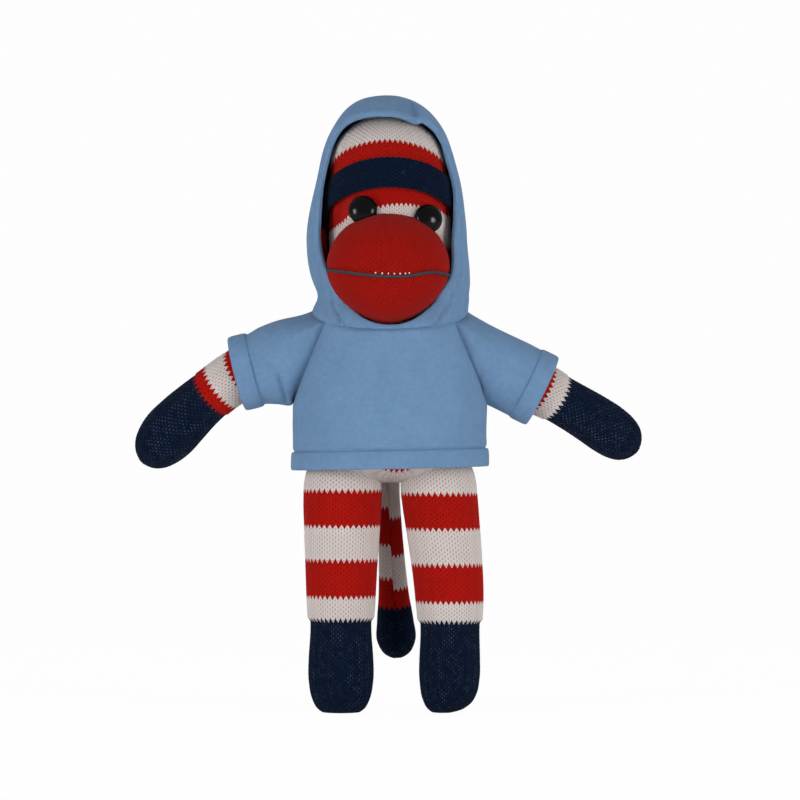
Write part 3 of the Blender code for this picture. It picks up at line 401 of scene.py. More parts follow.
class Path:
    """A centreline: at any distance along it, its point, its way, and two directions square to it."""

    def __init__(self, points, across=(0, -1, 0)):
        self.points = through(points, 300)
        self.along = lengths(self.points)
        self.length = self.along[-1]
        way = np.gradient(self.points, axis=0)
        self.way = way / np.linalg.norm(way, axis=1, keepdims=True)
        self.across = np.array(across, float)

    def at(self, distance):
        """Arrays for an array of distances, which may lie past the ends."""
        distance = np.asarray(distance, float)
        point = read(distance, self.along, self.points)
        way = read(distance, self.along, self.way)
        way /= np.linalg.norm(way, axis=-1, keepdims=True)
        point = point + way * (distance - np.clip(distance, 0, self.length))[..., None]
        side = np.cross(way, self.across)
        side /= np.linalg.norm(side, axis=-1, keepdims=True)
        return point, way, side, np.cross(side, way)


def oval(turn, powers=(2, 2)):
    """Unit points round an oval: |x|^p + |y|^p = 1, with one power where x > 0 and another elsewhere."""
    across, ahead = np.cos(turn), np.sin(turn)
    power = np.where(across > 0, *powers)
    swell = (np.abs(across) ** power + np.abs(ahead) ** power) ** (-1 / power)
    return across * swell, ahead * swell


def swept(path, profile, columns, powers=(2, 2), half_front=None):
    """A grid of points: rows along a profile (distance, half width), columns round it, outwards when
    crossed down by around. half_front gives the other half width where the rings aren't round."""
    across, ahead = oval(full_turn(columns), powers)
    point, _, side, front = path.at(profile[:, 0])
    deep = profile[:, 1] if half_front is None else half_front
    return (
        point[:, None]
        + side[:, None] * (across * profile[:, 1:2])[..., None]
        + front[:, None] * (ahead * deep[:, None])[..., None]
    )


# %% [markdown]
# A grid becomes a mesh in one step: its points as they are, and for each cell the four numbers of its
# corners. The U and V of the knit go on the corners and not on the points, so that the last column can
# count on to a whole number of stitches where the tube closes, with no jump at the seam.

# %% From grid to mesh
def outward(grid, closed=True):
    """The unit normal at each point of a grid: the change down its rows crossed with that round them."""
    down = np.gradient(grid, axis=0)
    if closed:
        around = np.roll(grid, -1, axis=1) - np.roll(grid, 1, axis=1)
    else:
        around = np.gradient(grid, axis=1)
    normal = np.cross(down, around)
    return normal / np.maximum(np.linalg.norm(normal, axis=2, keepdims=True), 1e-12)


def surface(name, grid, finish, closed=True, poles=(False, False), uv=None, keep=None):
    """A mesh from a grid of points. A pole is a row whose points are all one. keep masks cells."""
    rows, columns = grid.shape[:2]
    index = np.arange(rows * columns).reshape(rows, columns)
    for row, pole in zip((0, -1), poles):
        if pole:
            index[row] = index[row, 0]
    if closed:
        index = np.hstack([index, index[:, :1]])
    if uv is None:
        u, v = np.meshgrid(np.arange(index.shape[1]), np.arange(rows))
        uv = (u / (index.shape[1] - 1), v / (rows - 1))
    cells, us, vs = (
        np.stack([table[:-1, :-1], table[1:, :-1], table[1:, 1:], table[:-1, 1:]], -1).reshape(-1, 4)
        for table in (index, *uv)
    )
    if keep is not None:
        cells, us, vs = cells[keep.ravel()], us[keep.ravel()], vs[keep.ravel()]
    start_pole = cells[:, 0] == cells[:, 3]
    end_pole = cells[:, 1] == cells[:, 2]
    whole = ~(start_pole | end_pole)
    corner_sets = ((whole, (0, 1, 2, 3)), (start_pole, (0, 1, 2)), (end_pole, (0, 1, 3)))
    loops, counts, corner_u, corner_v = [], [], [], []
    for chosen, corners in corner_sets:
        loops.append(cells[chosen][:, corners].ravel())
        corner_u.append(us[chosen][:, corners].ravel())
        corner_v.append(vs[chosen][:, corners].ravel())
        counts.append(np.full(int(chosen.sum()), len(corners)))
    return mesh_object(name, grid.reshape(-1, 3), loops, counts, (corner_u, corner_v), finish)


def mesh_object(name, points, loops, counts, uv, finish):
    """Put points and faces into a new mesh object, without the points that no face uses."""
    loops, counts = np.concatenate(loops), np.concatenate(counts)
    used, loops = np.unique(loops, return_inverse=True)
    points = points[used]
    mesh = bpy.data.meshes.new(name)
    mesh.vertices.add(len(points))
    mesh.vertices.foreach_set("co", points.astype(np.float32).ravel())
    mesh.loops.add(len(loops))
    mesh.loops.foreach_set("vertex_index", loops.astype(np.int32))
    mesh.polygons.add(len(counts))
    starts = np.concatenate([[0], np.cumsum(counts)[:-1]])
    mesh.polygons.foreach_set("loop_start", starts.astype(np.int32))
    flat_uv = np.stack([np.concatenate(axis) for axis in uv], 1).astype(np.float32).ravel()
    mesh.uv_layers.new(name="weave").data.foreach_set("uv", flat_uv)
    mesh.update(calc_edges=True)
    mesh.validate()
    mesh.shade_smooth()
    mesh.materials.append(finish.material)
    thing = bpy.data.objects.new(name, mesh)
    bpy.context.scene.collection.objects.link(thing)
    return thing


def joined(pieces):
    """Make several objects one, under the first one's name."""
    with bpy.context.temp_override(active_object=pieces[0], selected_editable_objects=pieces):
        bpy.ops.object.join()
    return pieces[0]


def welded(piece, gap=0.01 * MM):
    """Join points that lie at one place, as where a surface closes on itself or two panels are sewn."""
    work = bmesh.new()
    work.from_mesh(piece.data)
    bmesh.ops.remove_doubles(work, verts=work.verts, dist=gap)
    work.to_mesh(piece.data)
    work.free()
    return piece


def dress(piece, body, slot, *nodes, fill=None):
    """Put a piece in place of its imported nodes, name its material slot, say how full it is stuffed, if it is,
    and let it ride on a body."""
    if nodes:
        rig.replaces(piece, *nodes)
    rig.slot(piece, slot)
    if fill is not None:
        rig.padded(piece, fill)
    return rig.ride(piece, body)


# %% [markdown]
# ## The knit
# Sock knit is stockinette. Each stitch is a V, two leaning legs side by side, and each column of stitches
# (a wale) is 2.75 mm wide here, each row (a course) 1.95 mm high. Between the legs the fabric opens into
# small dark holes, staggered by half a row from one half wale to the next. The same formula is used twice:
# numpy raises the real yarn out of the surface with it, and the shader colours whole stitches with it, so
# that the stripes end in real teeth and not in a straight line.

# %% Stitch formula
WALE = 2.75 * MM
COURSE = 1.95 * MM
STITCH_LEAN = 1.1
STITCH_PHASE = -0.55
LEG_HALF_WIDTH = 0.27
LEG_WAVE = 0.075
GROOVE_SHARE = 0.22
GROOVE_SPREAD = 0.02
KNIT_RELIEF = 0.5 * MM


def stitch_height(u, v):
    """How high the yarn stands, from 0 in a hole to 1 on a leg: a half round about each leg's centreline,
    which waves with the rows, with a shallow groove where one stitch ends and the next begins."""
    half = np.abs(u % 1 - 0.5)
    centre = 0.25 + LEG_WAVE * np.cos(math.tau * v)
    leg = np.sqrt(np.clip(1 - ((half - centre) / LEG_HALF_WIDTH) ** 2, 0, 1))
    row = v + 2 * STITCH_LEAN * half + STITCH_PHASE
    return leg - GROOVE_SHARE * np.exp(-((np.abs(row % 1 - 0.5) - 0.5) ** 2) / GROOVE_SPREAD)


def knitted(name, grid, uv, finish, poles=(True, True), relief=KNIT_RELIEF, calm=None):
    """A knitted surface: the grid raised along its normals by the stitches. The yarn's top stands where
    the smooth form was. calm is a share from 0 to 1 for each point, which fades the stitches."""
    u, v = uv
    height = stitch_height(u[:, : grid.shape[1]], v[:, : grid.shape[1]]) - 1
    if calm is not None:
        height = height * calm
    raised = grid + outward(grid) * (relief * height)[..., None]
    for row, pole in zip((0, -1), poles):
        if pole:
            raised[row] = grid[row]
    return surface(name, raised, finish, poles=poles, uv=uv)


def tube_uv(grid, start, wales=None, upward=False):
    """Stitch coordinates for a closed grid: U counts wales round it, V counts courses from the row at which
    the distance down it is start. upward grids count backwards, so that the V's still point down."""
    down = np.linalg.norm(np.diff(grid, axis=0), axis=2).mean(axis=1)
    along = np.concatenate([[0], np.cumsum(down)])
    if wales is None:
        around = np.linalg.norm(np.roll(grid, -1, axis=1) - grid, axis=2).sum(axis=1)
        wales = round(np.max(around) / WALE)
    u = np.linspace(0, wales, grid.shape[1] + 1)
    v = (along - start) / COURSE
    if upward:
        v = -v
    return np.meshgrid(u, v)


def closing(grid):
    """A closed grid's X and Z with the first column repeated at the end, for values on corners."""
    return (np.hstack([grid[..., axis], grid[:, :1, axis]]) for axis in (0, 2))


# %% [markdown]
# The shader repeats the stitch formula with nodes. It rounds the row of each stitch leg down to a whole
# number, and so a band of colour starts with whole stitches. Between the legs, and a little in the grooves,
# the colour takes a painted shade of the fabric's inside: each colour has its own, deeper and not just darker.

# %% Knit colours
def linear(red, green, blue):
    """A colour given as a screen shows it, 0 to 255, as the linear light that shaders work in."""
    levels = (red / 255, green / 255, blue / 255)
    return tuple(((c + 0.055) / 1.055) ** 2.4 if c > 0.04 else c / 12.92 for c in levels)


RED = linear(154, 20, 13)
HEEL_RED = linear(139, 19, 13)
WHITE = linear(194, 186, 183)
NAVY = linear(10, 22, 41)
# The painted shade of each colour, for the holes between stitch legs and the grooves; the fine fibre tone mixes
# towards it as well.
HOLE_SHADE = {
    RED: linear(118, 9, 7), HEEL_RED: linear(116, 9, 7), WHITE: linear(138, 112, 105), NAVY: linear(4, 8, 20)
}
FILLING_SPECK = linear(120, 128, 146)
PATCH_SCALE = 120
FIBRE_SCALE = 2600
PLY_SCALE = 1500


def knit_finish(name, top, *bands, specks=0.0):
    """Sock knit: the colour top, then bands that each give (first row, colour). A row's number is worked out
    per stitch leg, so that a band's edge runs along the stitches. Holes and grooves get a painted shade, by an
    uneven amount, and specks is how often pale filling shows through a stitch of the last band."""
    finish = Finish(name, 0.95, Sheen_Weight=0.04, Sheen_Roughness=0.5, Specular_IOR_Level=0)
    spot = finish.node("UVMap", {"uv_map": "weave"})
    spot = finish.node("SeparateXYZ", values={0: spot})
    u, v = spot, Wire(finish.tree, spot.socket.node.outputs[1])
    half = ((u.fraction()) - 0.5).size()
    row = v + 2 * STITCH_LEAN * half + STITCH_PHASE
    row_number = row.floor()
    centre = (v * math.tau).cosine() * LEG_WAVE + 0.25
    across = (half - centre) / LEG_HALF_WIDTH
    leg = (1 - across * across).clipped().power(0.5)
    groove = 1 - ((((row.fraction()) - 0.5).size() - 0.5).size() * 9).clipped()
    colour, hole_shade_and_fibre_tone = top, HOLE_SHADE[top]
    past = 1
    for first_row, shade in bands:
        past = row_number >= first_row
        colour = finish.mix(past, colour, shade)
        hole_shade_and_fibre_tone = finish.mix(past, hole_shade_and_fibre_tone, HOLE_SHADE[shade])
    patches = finish.noise(PATCH_SCALE, detail=3)
    fibres = finish.noise(FIBRE_SCALE, detail=2)
    # depth is how much painted shade a point gets: most in the holes between the legs, a little in the grooves.
    depth = (1 - leg * 1.25).clipped() * (0.55 + patches * 0.75) + groove * 0.12
    colour = finish.mix((fibres - 0.35).clipped() * 0.35, colour, hole_shade_and_fibre_tone)
    colour = finish.mix(depth.clipped(), colour, hole_shade_and_fibre_tone)
    if specks:
        stitch = finish.node("CombineXYZ", values={0: (u * 2).floor(), 1: v.floor()})
        chance = finish.node("TexWhiteNoise", {"noise_dimensions": "3D"}, {"Vector": stitch})
        shown = (chance >= 1 - specks) * (1 - leg * 1.6).clipped() * (patches * 2.4 - 0.6).clipped() * past
        colour = finish.mix(shown * 0.5, colour, FILLING_SPECK)
    finish.feed("Base Color", colour)
    ply = finish.noise(PLY_SCALE, detail=3)
    finish.bump(leg * 0.6 + ply * 0.35 - groove * 0.1, 0.25 * MM, 0.8)
    return finish


# %% [markdown]
# ## The filling
# Under the skin is loose fibre. It doesn't show, but the doll is built with it, so each filling is a lumpy
# white form that keeps clear of the skin. A few waves at unlike angles make the lumps, seeded by their
# phase.

# %% Fibre and stuffing
fibre = Finish("stuffing", 1.0, Sheen_Weight=0.4)
wisps = fibre.noise(900, detail=4)
fibre.feed("Base Color", fibre.mix(wisps, linear(205, 205, 200), linear(246, 246, 242)))
fibre.bump(wisps, 0.6 * MM)
LUMP = 0.5 * MM
SKIN_DEPTH = 2.2 * MM


def stuffed(name, node, grid, body, fill):
    """A filling's form: its grid pressed into soft lumps, which only ever go inwards."""
    waves = np.sin(grid[..., 0] * 530 + grid[..., 2] * 270) * np.sin(grid[..., 2] * 460 - grid[..., 1] * 350)
    lumpy = grid - outward(grid) * (LUMP * (1 + waves))[..., None]
    lumpy[[0, -1]] = lumpy[[0, -1]].mean(axis=1, keepdims=True)
    return dress(surface(name, lumpy, fibre, poles=(True, True)), body, "stuffing", node, fill=fill)


def wad(name, node, body):
    """A ball of filling on which a limb flops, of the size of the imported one."""
    low, high = (np.array(corner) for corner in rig.box(node))
    turns = np.linspace(0, math.pi, 25)
    radius = (high - low)[0] / 2
    middle = (low + high) / 2
    path = Path([middle, middle + (0, 0, radius)])
    profile = np.stack([-radius * np.cos(turns), radius * np.sin(turns)], 1)
    return stuffed(name, node, swept(path, profile, 32), body, 0.8)


# %% [markdown]
# ## The legs
# Each leg is a sock's foot: a knitted tube, closed at the toe, stuffed, and striped by the sock's own rows.
# Its stations go down from the hip, and the foot is pressed flat where it stands. The hip end is a round
# ball hidden in the body, so the leg can swing forward without opening a gap.

# %% Limb profile
KNIT_STEP = 0.42 * MM


def limb_profile(length, root_radius, stations, radii, shrink=0.0):
    """A limb's outline, from the pole of its round root to the tip: (distance, radius) at equal steps."""
    root = root_radius - shrink
    turns = np.linspace(0, math.pi / 2, 6)[:-1]
    along = list(-root * np.cos(turns)) + [length * s for s in stations[:-1]] + [length - shrink]
    size = list(root * np.sin(turns)) + [r - shrink for r in radii[:-1]] + [0]
    points = np.stack([along, size], 1)
    mirror = np.array([1, -1])
    coarse = through(points, 400, points[1] * mirror, points[-2] * mirror)
    count = int(lengths(coarse)[-1] / KNIT_STEP)
    return evenly(coarse, count)


def columns_for(radius):
    """How many columns keep a ring's cells as small as the knit needs."""
    return int(math.tau * radius / KNIT_STEP / 2) * 2


def row_at(profile, distance):
    """The distance down a profile's own outline at which it passes a distance along the centreline."""
    return float(np.interp(distance, profile[:, 0], lengths(profile)))


# %% [markdown]
# The two legs are not twins. The right one is thinner at its foot, stands further out and leans on the
# inner side of its sole, and its stripes sit a little lower. A stripe is given by the height of its first
# row.

# %% Legs
HIP = 101 * MM
SOLE_CUT = 1 * MM
LEG_STATION_SHARES = (0, 0.07, 0.2, 0.35, 0.5, 0.62, 0.76, 0.86, 0.93, 0.975, 0.993, 1)
LEG_BEND_SHARES = (0.5, 0.85)
TOE_HEIGHT = 18 * MM
ANKLE_STEP = 1.2 * MM
LEGS = {
    "left": dict(
        out=-1, hip=21 * MM, root=17.3 * MM, shin=0.8 * MM, slant=0.0, stripes=(98.6, 82.8, 67.8, 51.4, 41.3),
        shares=(1, 1.01, 0.975, 0.93, 0.89, 0.85, 0.845, 0.83, 0.75, 0.61, 0.46, 0),
    ),
    "right": dict(
        out=1, hip=21.5 * MM, root=16.9 * MM, shin=5 * MM, slant=0.2, stripes=(97.2, 81.5, 65.7, 49, 40.4),
        shares=(1, 1, 0.97, 0.935, 0.9, 0.85, 0.815, 0.79, 0.72, 0.58, 0.43, 0),
    ),
}
LEG_BANDS = [(-7, WHITE), (0, RED), (8, WHITE), (16, RED), (24, WHITE), (29, NAVY)]
STRIPE_ROWS = [row for row, _ in LEG_BANDS[1:]]
ROWS_ABOVE, ROWS_BELOW = 10, 30
LEVEL_FROM, LEVEL_TO = 12 * MM, 34 * MM
FOOT_ROWS = 12
leg_knit = knit_finish("leg_knit", RED, *LEG_BANDS, specks=0.45)


def striped(grid, uv, stripes):
    """Row numbers by height, so that the stripes lie level at the measured heights. In the foot they pass
    over to rows counted along the surface, because there the surface turns level."""
    above, below = (rows * COURSE / MM for rows in (ROWS_ABOVE, ROWS_BELOW))
    heights = np.array([stripes[0] + above, *stripes, stripes[-1] - below]) * MM
    rows = [STRIPE_ROWS[0] - ROWS_ABOVE, *STRIPE_ROWS, STRIPE_ROWS[-1] + ROWS_BELOW]
    _, z = closing(grid)
    level = ease(z, LEVEL_FROM, LEVEL_TO)
    return uv[0], np.interp(-z, -heights, rows) * level + (uv[1] + STRIPE_ROWS[-1]) * (1 - level)


def pressed_flat(grid, middle, slant):
    """A foot on the ground: its outer side raised by its slant, and its sole pressed flat at height 0."""
    fade = 1 - np.clip(grid[..., 2] / TOE_HEIGHT, 0, 1)
    raised = grid.copy()
    raised[..., 2] += slant * fade * np.maximum(grid[..., 0] - middle, 0)
    low = raised[..., 2].min()
    raised[..., 2] -= (low + SOLE_CUT) * (1 - np.clip(raised[..., 2] / TOE_HEIGHT, 0, 1))
    raised[..., 2] = np.maximum(raised[..., 2], 0)
    return raised


for side, leg in LEGS.items():
    drop = HIP + SOLE_CUT
    hip = np.array((leg["out"] * leg["hip"], 0, HIP))
    shin = hip + (leg["out"] * leg["shin"], 0, 0)
    down = np.array((0, 0, -drop))
    path = Path([hip, shin + down * LEG_BEND_SHARES[0], shin + down * LEG_BEND_SHARES[1], shin + down])
    radii = [leg["root"] * share for share in leg["shares"]]
    profile = limb_profile(path.length, leg["root"], LEG_STATION_SHARES, radii)
    grid = swept(path, profile, columns_for(leg["root"]))
    flat = pressed_flat(grid, hip[0], leg["slant"])
    uv = tube_uv(grid, row_at(profile, HIP - leg["stripes"][-1] * MM))
    uv = striped(grid, uv, leg["stripes"])
    row = uv[1][:, :-1] - STRIPE_ROWS[-1]
    ankle = ease(row, -0.6, 0.6) * (1 - ease(row, 0, FOOT_ROWS))
    flat = flat - outward(flat) * (ANKLE_STEP * ankle)[..., None]
    knit = knitted(side + "_leg_knit", flat, uv, leg_knit, calm=ease(flat[..., 2], 0, 1.5 * MM))
    dress(knit, side + "_leg", "striped_knit", side + "_leg_skin", fill=0.9)
    inner = limb_profile(path.length, leg["root"], LEG_STATION_SHARES, radii, SKIN_DEPTH)[::4]
    inside = pressed_flat(swept(path, inner, 48), hip[0], leg["slant"])
    stuffed(side + "_leg_stuffing", side + "_leg_filling", inside, side + "_leg", 0.9)
    wad(side + "_hip_stuffing", side + "_hip_wad", side + "_hip")
    print(side, "leg:", len(knit.data.polygons), "faces,", round(path.length / MM), "mm long")

# %% [markdown]
# ## The arms
# An arm is a narrower tube, sewn from another part of the sock: white by the sleeve, and navy for the hand.
# The left one keeps a red band before the navy, closed by a seam.
# The right one turns navy at a small step, where a second piece of sock is sewn on.

# %% Arms
SHOULDER_OUT = 40 * MM
ARM_BACK = math.radians(6)
ARM_ROOT_RADIUS = 12.4 * MM
ARM_ROWS_BOW = 2.5 * MM
ARM_STATION_SHARES = (0, 0.18, 0.34, 0.48, 0.58, 0.70, 0.80, 0.88, 0.94, 0.98, 1)
ARMS = {
    "left": dict(
        out=-1, height=159.8 * MM, radius=12 * MM, lengths=(30 * MM, 15 * MM, 43 * MM), slopes=(20, 35, 44),
        shares=(1.03, 1.02, 0.99, 0.97, 1.01, 1.08, 1.1, 0.99, 0.79, 0.49, 0), seam=44.4 * MM,
        bands=[(-8, WHITE), (-3, RED), (0, NAVY)],
    ),
    "right": dict(
        out=1, height=157.6 * MM, radius=11.9 * MM, lengths=(32 * MM, 27 * MM, 23.5 * MM),
        slopes=(27, 30, 35),
        shares=(1.04, 1.03, 1.02, 0.95, 0.96, 0.99, 1, 0.93, 0.76, 0.47, 0), seam=38.4 * MM,
        bands=[(-4, WHITE), (0, NAVY)],
    ),
}
ARM_SEAM_STEP = 0.5 * MM
ARM_SEAM_HALF = 0.6 * MM


def bones(start, lengths, slopes_deg, outward_way, back):
    """The points of a line that leaves start outwards and goes down in steps of length and slope."""
    points = [np.array(start, float)]
    for length, slope in zip(lengths, slopes_deg):
        level, drop = math.cos(math.radians(slope)), math.sin(math.radians(slope))
        way = (outward_way * level * math.cos(back), level * math.sin(back), -drop)
        points.append(points[-1] + np.array(way) * length)
    return points


arm_paths = {}
for side, arm in ARMS.items():
    shoulder = (arm["out"] * SHOULDER_OUT, 0, arm["height"])
    path = Path(bones(shoulder, arm["lengths"], arm["slopes"], arm["out"], ARM_BACK))
    arm_paths[side] = path
    radii = [arm["radius"] * share for share in arm["shares"]]
    profile = limb_profile(path.length, ARM_ROOT_RADIUS, ARM_STATION_SHARES, radii)
    step = ARM_SEAM_STEP * ease(profile[:, 0], arm["seam"] - ARM_SEAM_HALF, arm["seam"] + ARM_SEAM_HALF)
    profile[:, 1] = np.maximum(profile[:, 1] - step * (profile[:, 1] > 2 * MM), 0)
    grid = swept(path, profile, columns_for(ARM_ROOT_RADIUS))
    u, v = tube_uv(grid, row_at(profile, arm["seam"]))
    turn = np.linspace(0, math.tau, grid.shape[1] + 1)
    uv = u, v - ARM_ROWS_BOW / COURSE * np.sin(turn)
    finish = knit_finish(side + "_arm_knit", RED, *arm["bands"], specks=0.6)
    knit = knitted(side + "_arm_knit", grid, uv, finish)
    dress(knit, side + "_arm", "striped_knit", side + "_arm_skin", fill=0.9)
    inner = limb_profile(path.length, ARM_ROOT_RADIUS, ARM_STATION_SHARES, radii, SKIN_DEPTH)[::4]
    stuffed(side + "_arm_stuffing", side + "_arm_filling", swept(path, inner, 40), side + "_arm", 0.9)
    wad(side + "_shoulder_stuffing", side + "_shoulder_wad", side + "_shoulder")
    print(side, "arm:", len(knit.data.polygons), "faces,", round(path.length / MM), "mm long")

# %% [markdown]
# ## The tail
# The tail is a strip of the sock folded lengthwise, so its stripes don't meet at the seam down its middle:
# the right half sits a few rows lower. It hangs behind the legs.

# %% Tail
TAIL_ROOT = np.array((-1.5 * MM, 20.5 * MM, 106.5 * MM))
TAIL_LENGTH = 88 * MM
TAIL_BACK, TAIL_ASIDE = math.radians(15), math.radians(3.1)
TAIL_ROOT_RADIUS = 5.6 * MM
TAIL_TIP_RADIUS = 8.8 * MM
TAIL_STATION_SHARES = (0, 0.12, 0.3, 0.5, 0.66, 0.8, 0.9, 0.97, 1)
TAIL_RADIUS_SHARES = (0.63, 0.6, 0.62, 0.69, 0.79, 0.95, 1.0, 0.66, 0)
TAIL_TIP_BAND = 62.2 * MM
TAIL_MISMATCH_ROWS = 2.7
TAIL_MATCHED_ROWS = 4.3
TAIL_SEAM_DEPTH = 0.9 * MM
TAIL_SEAM_REACH = 0.8 * MM
TAIL_SKIN_DEPTH = 1.5 * MM

hang_way = np.array((math.sin(TAIL_ASIDE), math.sin(TAIL_BACK), -math.cos(TAIL_BACK)))
hang_way /= np.linalg.norm(hang_way)
tail_path = Path([TAIL_ROOT, TAIL_ROOT + hang_way * TAIL_LENGTH / 2, TAIL_ROOT + hang_way * TAIL_LENGTH])
tail_radii = [TAIL_TIP_RADIUS * share for share in TAIL_RADIUS_SHARES]
profile = limb_profile(tail_path.length, TAIL_ROOT_RADIUS, TAIL_STATION_SHARES, tail_radii)
grid = swept(tail_path, profile, columns_for(TAIL_TIP_RADIUS))
u, v = tube_uv(grid, row_at(profile, TAIL_TIP_BAND), wales=18)
turn = np.linspace(0, math.tau, grid.shape[1] + 1)
right_half = np.cos(turn) < 0
v = v - np.where(right_half, TAIL_MISMATCH_ROWS, 0) * (1 - ease(v, -TAIL_MATCHED_ROWS, 0))
from_seam = np.abs(np.cos(turn[:-1])) * profile[:, 1:2]
seam_groove = TAIL_SEAM_DEPTH * beside(from_seam, TAIL_SEAM_REACH) * (np.sin(turn[:-1]) > 0)
seam_groove *= ease(profile[:, 1:2], 0, 4 * MM)
grid = grid - outward(grid) * seam_groove[..., None]
tail_knit = knit_finish("tail_knit", WHITE, (-24, RED), (-15, WHITE), (-7, RED), (0, NAVY), specks=0.2)
dress(knitted("tail_knit", grid, (u, v), tail_knit), "tail", "striped_knit", "tail_skin", fill=0.85)
inner = limb_profile(tail_path.length, TAIL_ROOT_RADIUS, TAIL_STATION_SHARES, tail_radii, TAIL_SKIN_DEPTH)
stuffed("tail_stuffing", "tail_filling", swept(tail_path, inner[::4], 32), "tail", 0.85)
wad("tail_root_stuffing", "tail_wad", "tail_root")

# %% [markdown]
# ## Body and head
# Both are upright ovals whose width and depth follow stations of their height. The body hides under the
# jacket, but for the white crotch with a little red above it. The head shows between hat and muzzle, where
# the sock's red meets its white in a curve: higher in the middle than at the cheeks, because the sock was
# stretched over a round head.

# %% Upright forms
def upright_profile(height, half_width, rises, widths, closed=(True, True), step=KNIT_STEP):
    """(height, half width) at equal steps, from stations given as shares."""
    points = np.stack([height * np.array(rises), half_width * np.array(widths)], 1)
    mirror = np.array([1, -1])
    before = points[1] * mirror if closed[0] else None
    after = points[-2] * mirror if closed[1] else None
    coarse = through(points, 600, before, after)
    return evenly(coarse, int(lengths(coarse)[-1] / step))


def vertical(base, back=0.0):
    return Path([(0, back, base), (0, back, base + 50 * MM), (0, back, base + 100 * MM)])


TORSO_BASE = 102 * MM
TORSO_HEIGHT = 67.5 * MM
TORSO_HALF_WIDTH = 39.5 * MM
TORSO_DEPTH_SHARE = 25.5 / 39.5
TORSO_RISE_SHARES = (0, 0.02, 0.07, 0.14, 0.26, 0.45, 0.62, 0.75, 0.85, 0.93, 0.98, 1)
TORSO_WIDTH_SHARES = (0, 0.36, 0.68, 0.88, 0.98, 1, 0.96, 0.91, 0.84, 0.68, 0.4, 0)
TORSO_STRIPE = 107.3 * MM
TORSO_STRIPE_ASIDE = 3 * MM
TORSO_STRIPE_BOW = 3 * MM / (9 * MM) ** 2
TORSO_STEP = 0.7 * MM
torso_knit = knit_finish("torso_knit", RED, (0, WHITE))
profile = upright_profile(
    TORSO_HEIGHT, TORSO_HALF_WIDTH, TORSO_RISE_SHARES, TORSO_WIDTH_SHARES, step=TORSO_STEP
)
for name, node, shrink, fill in (
    ("torso_knit", "torso_skin", 0, None), ("torso_stuffing", "torso_filling", SKIN_DEPTH, 0.9),
):
    less = np.maximum(profile[:, 1] - shrink, 0)
    tall = np.stack([np.clip(profile[:, 0], shrink, TORSO_HEIGHT - shrink), less], 1)
    grid = swept(vertical(TORSO_BASE), tall, 300, half_front=less * TORSO_DEPTH_SHARE)
    if fill:
        stuffed(name, node, grid[::3, ::4], "torso", fill)
        continue
    u, _ = tube_uv(grid, 0)
    x, z = closing(grid)
    stripe = TORSO_STRIPE + TORSO_STRIPE_BOW * (x - TORSO_STRIPE_ASIDE) ** 2
    knit = knitted(name, grid, (u, (stripe - z) / COURSE), torso_knit)
    dress(knit, "torso", "striped_knit", node, fill=0.9)

# %% [markdown]
# The two eyes sit unevenly, and each faces its own way. Behind each one the head's front is pressed to a
# flat, because the eye's washer pulls the knit against its back.

# %% Head
NECK = np.array((0, 2 * MM, 171.5 * MM))
HEAD_BASE = 176 * MM
HEAD_HEIGHT = 89.5 * MM
HEAD_HALF_WIDTH = 27.3 * MM
HEAD_DEPTH_SHARE = 28 / 27.3
HEAD_RISE_SHARES = (0, 0.05, 0.12, 0.24, 0.40, 0.56, 0.70, 0.80, 0.88, 0.95, 0.985, 1)
HEAD_WIDTH_SHARES = (0, 0.66, 0.84, 0.96, 1, 0.98, 0.905, 0.815, 0.68, 0.45, 0.24, 0)
BROW_HEIGHT = 224.4 * MM
BROW_BOW = 8.2 * MM
BROW_TILT = 3.2 * MM


def head_profile(grow, step):
    """The head's outline as (height, half width), let out by grow, or drawn in where grow is negative."""
    tall, wide = HEAD_HEIGHT + 2 * grow, HEAD_HALF_WIDTH + grow
    return upright_profile(tall, wide, HEAD_RISE_SHARES, HEAD_WIDTH_SHARES, step=step)


def head_grid(grow, columns, step):
    """The head's form, let out by grow."""
    profile = head_profile(grow, step)
    return swept(vertical(HEAD_BASE - grow), profile, columns, half_front=profile[:, 1] * HEAD_DEPTH_SHARE)


def eye_seat(x, height, facing):
    """Where an eye sits on the head, and the way it faces: out to its side by facing, and a little up."""
    level = (height - HEAD_BASE) / HEAD_HEIGHT
    width = np.interp(level, HEAD_RISE_SHARES, HEAD_WIDTH_SHARES) * HEAD_HALF_WIDTH
    y = -width * HEAD_DEPTH_SHARE * math.sqrt(1 - (x / width) ** 2)
    level_way = np.array((math.sin(facing), -math.cos(facing), 0))
    out = level_way * math.cos(EYE_UPWARD) + np.array((0, 0, math.sin(EYE_UPWARD)))
    return np.array((x, y, height)) + out * EYE_STAND_OFF, out


EYE_RADIUS = 6.35 * MM
EYE_UPWARD = math.radians(8)
EYE_STAND_OFF = 0.8 * MM
EYES = {
    "left": eye_seat(-11.7 * MM, 222 * MM, math.radians(-5)),
    "right": eye_seat(16.4 * MM, 218.4 * MM, math.radians(19)),
}
HEAD_WALES = 82
HEAD_COURSE = 1.75 * MM
EYE_HOLD_SHARES = (0.95, 1.7)
head_knit = knit_finish("head_knit", RED, (0, WHITE), (8, RED))
grid = head_grid(0, columns_for(HEAD_HALF_WIDTH) + 80, KNIT_STEP)
u, _ = tube_uv(grid, 0, wales=HEAD_WALES)
x, z = closing(grid)
brow = BROW_HEIGHT - BROW_BOW * (x / HEAD_HALF_WIDTH) ** 2 + BROW_TILT * x / HEAD_HALF_WIDTH
for seat, out in EYES.values():
    from_seat = grid - seat
    along = from_seat @ out
    beyond = np.linalg.norm(from_seat - along[..., None] * out, axis=2)
    held = (1 - ease(beyond / EYE_RADIUS, *EYE_HOLD_SHARES)) * (grid[..., 1] < 0)
    grid = grid - out * (along * held)[..., None]
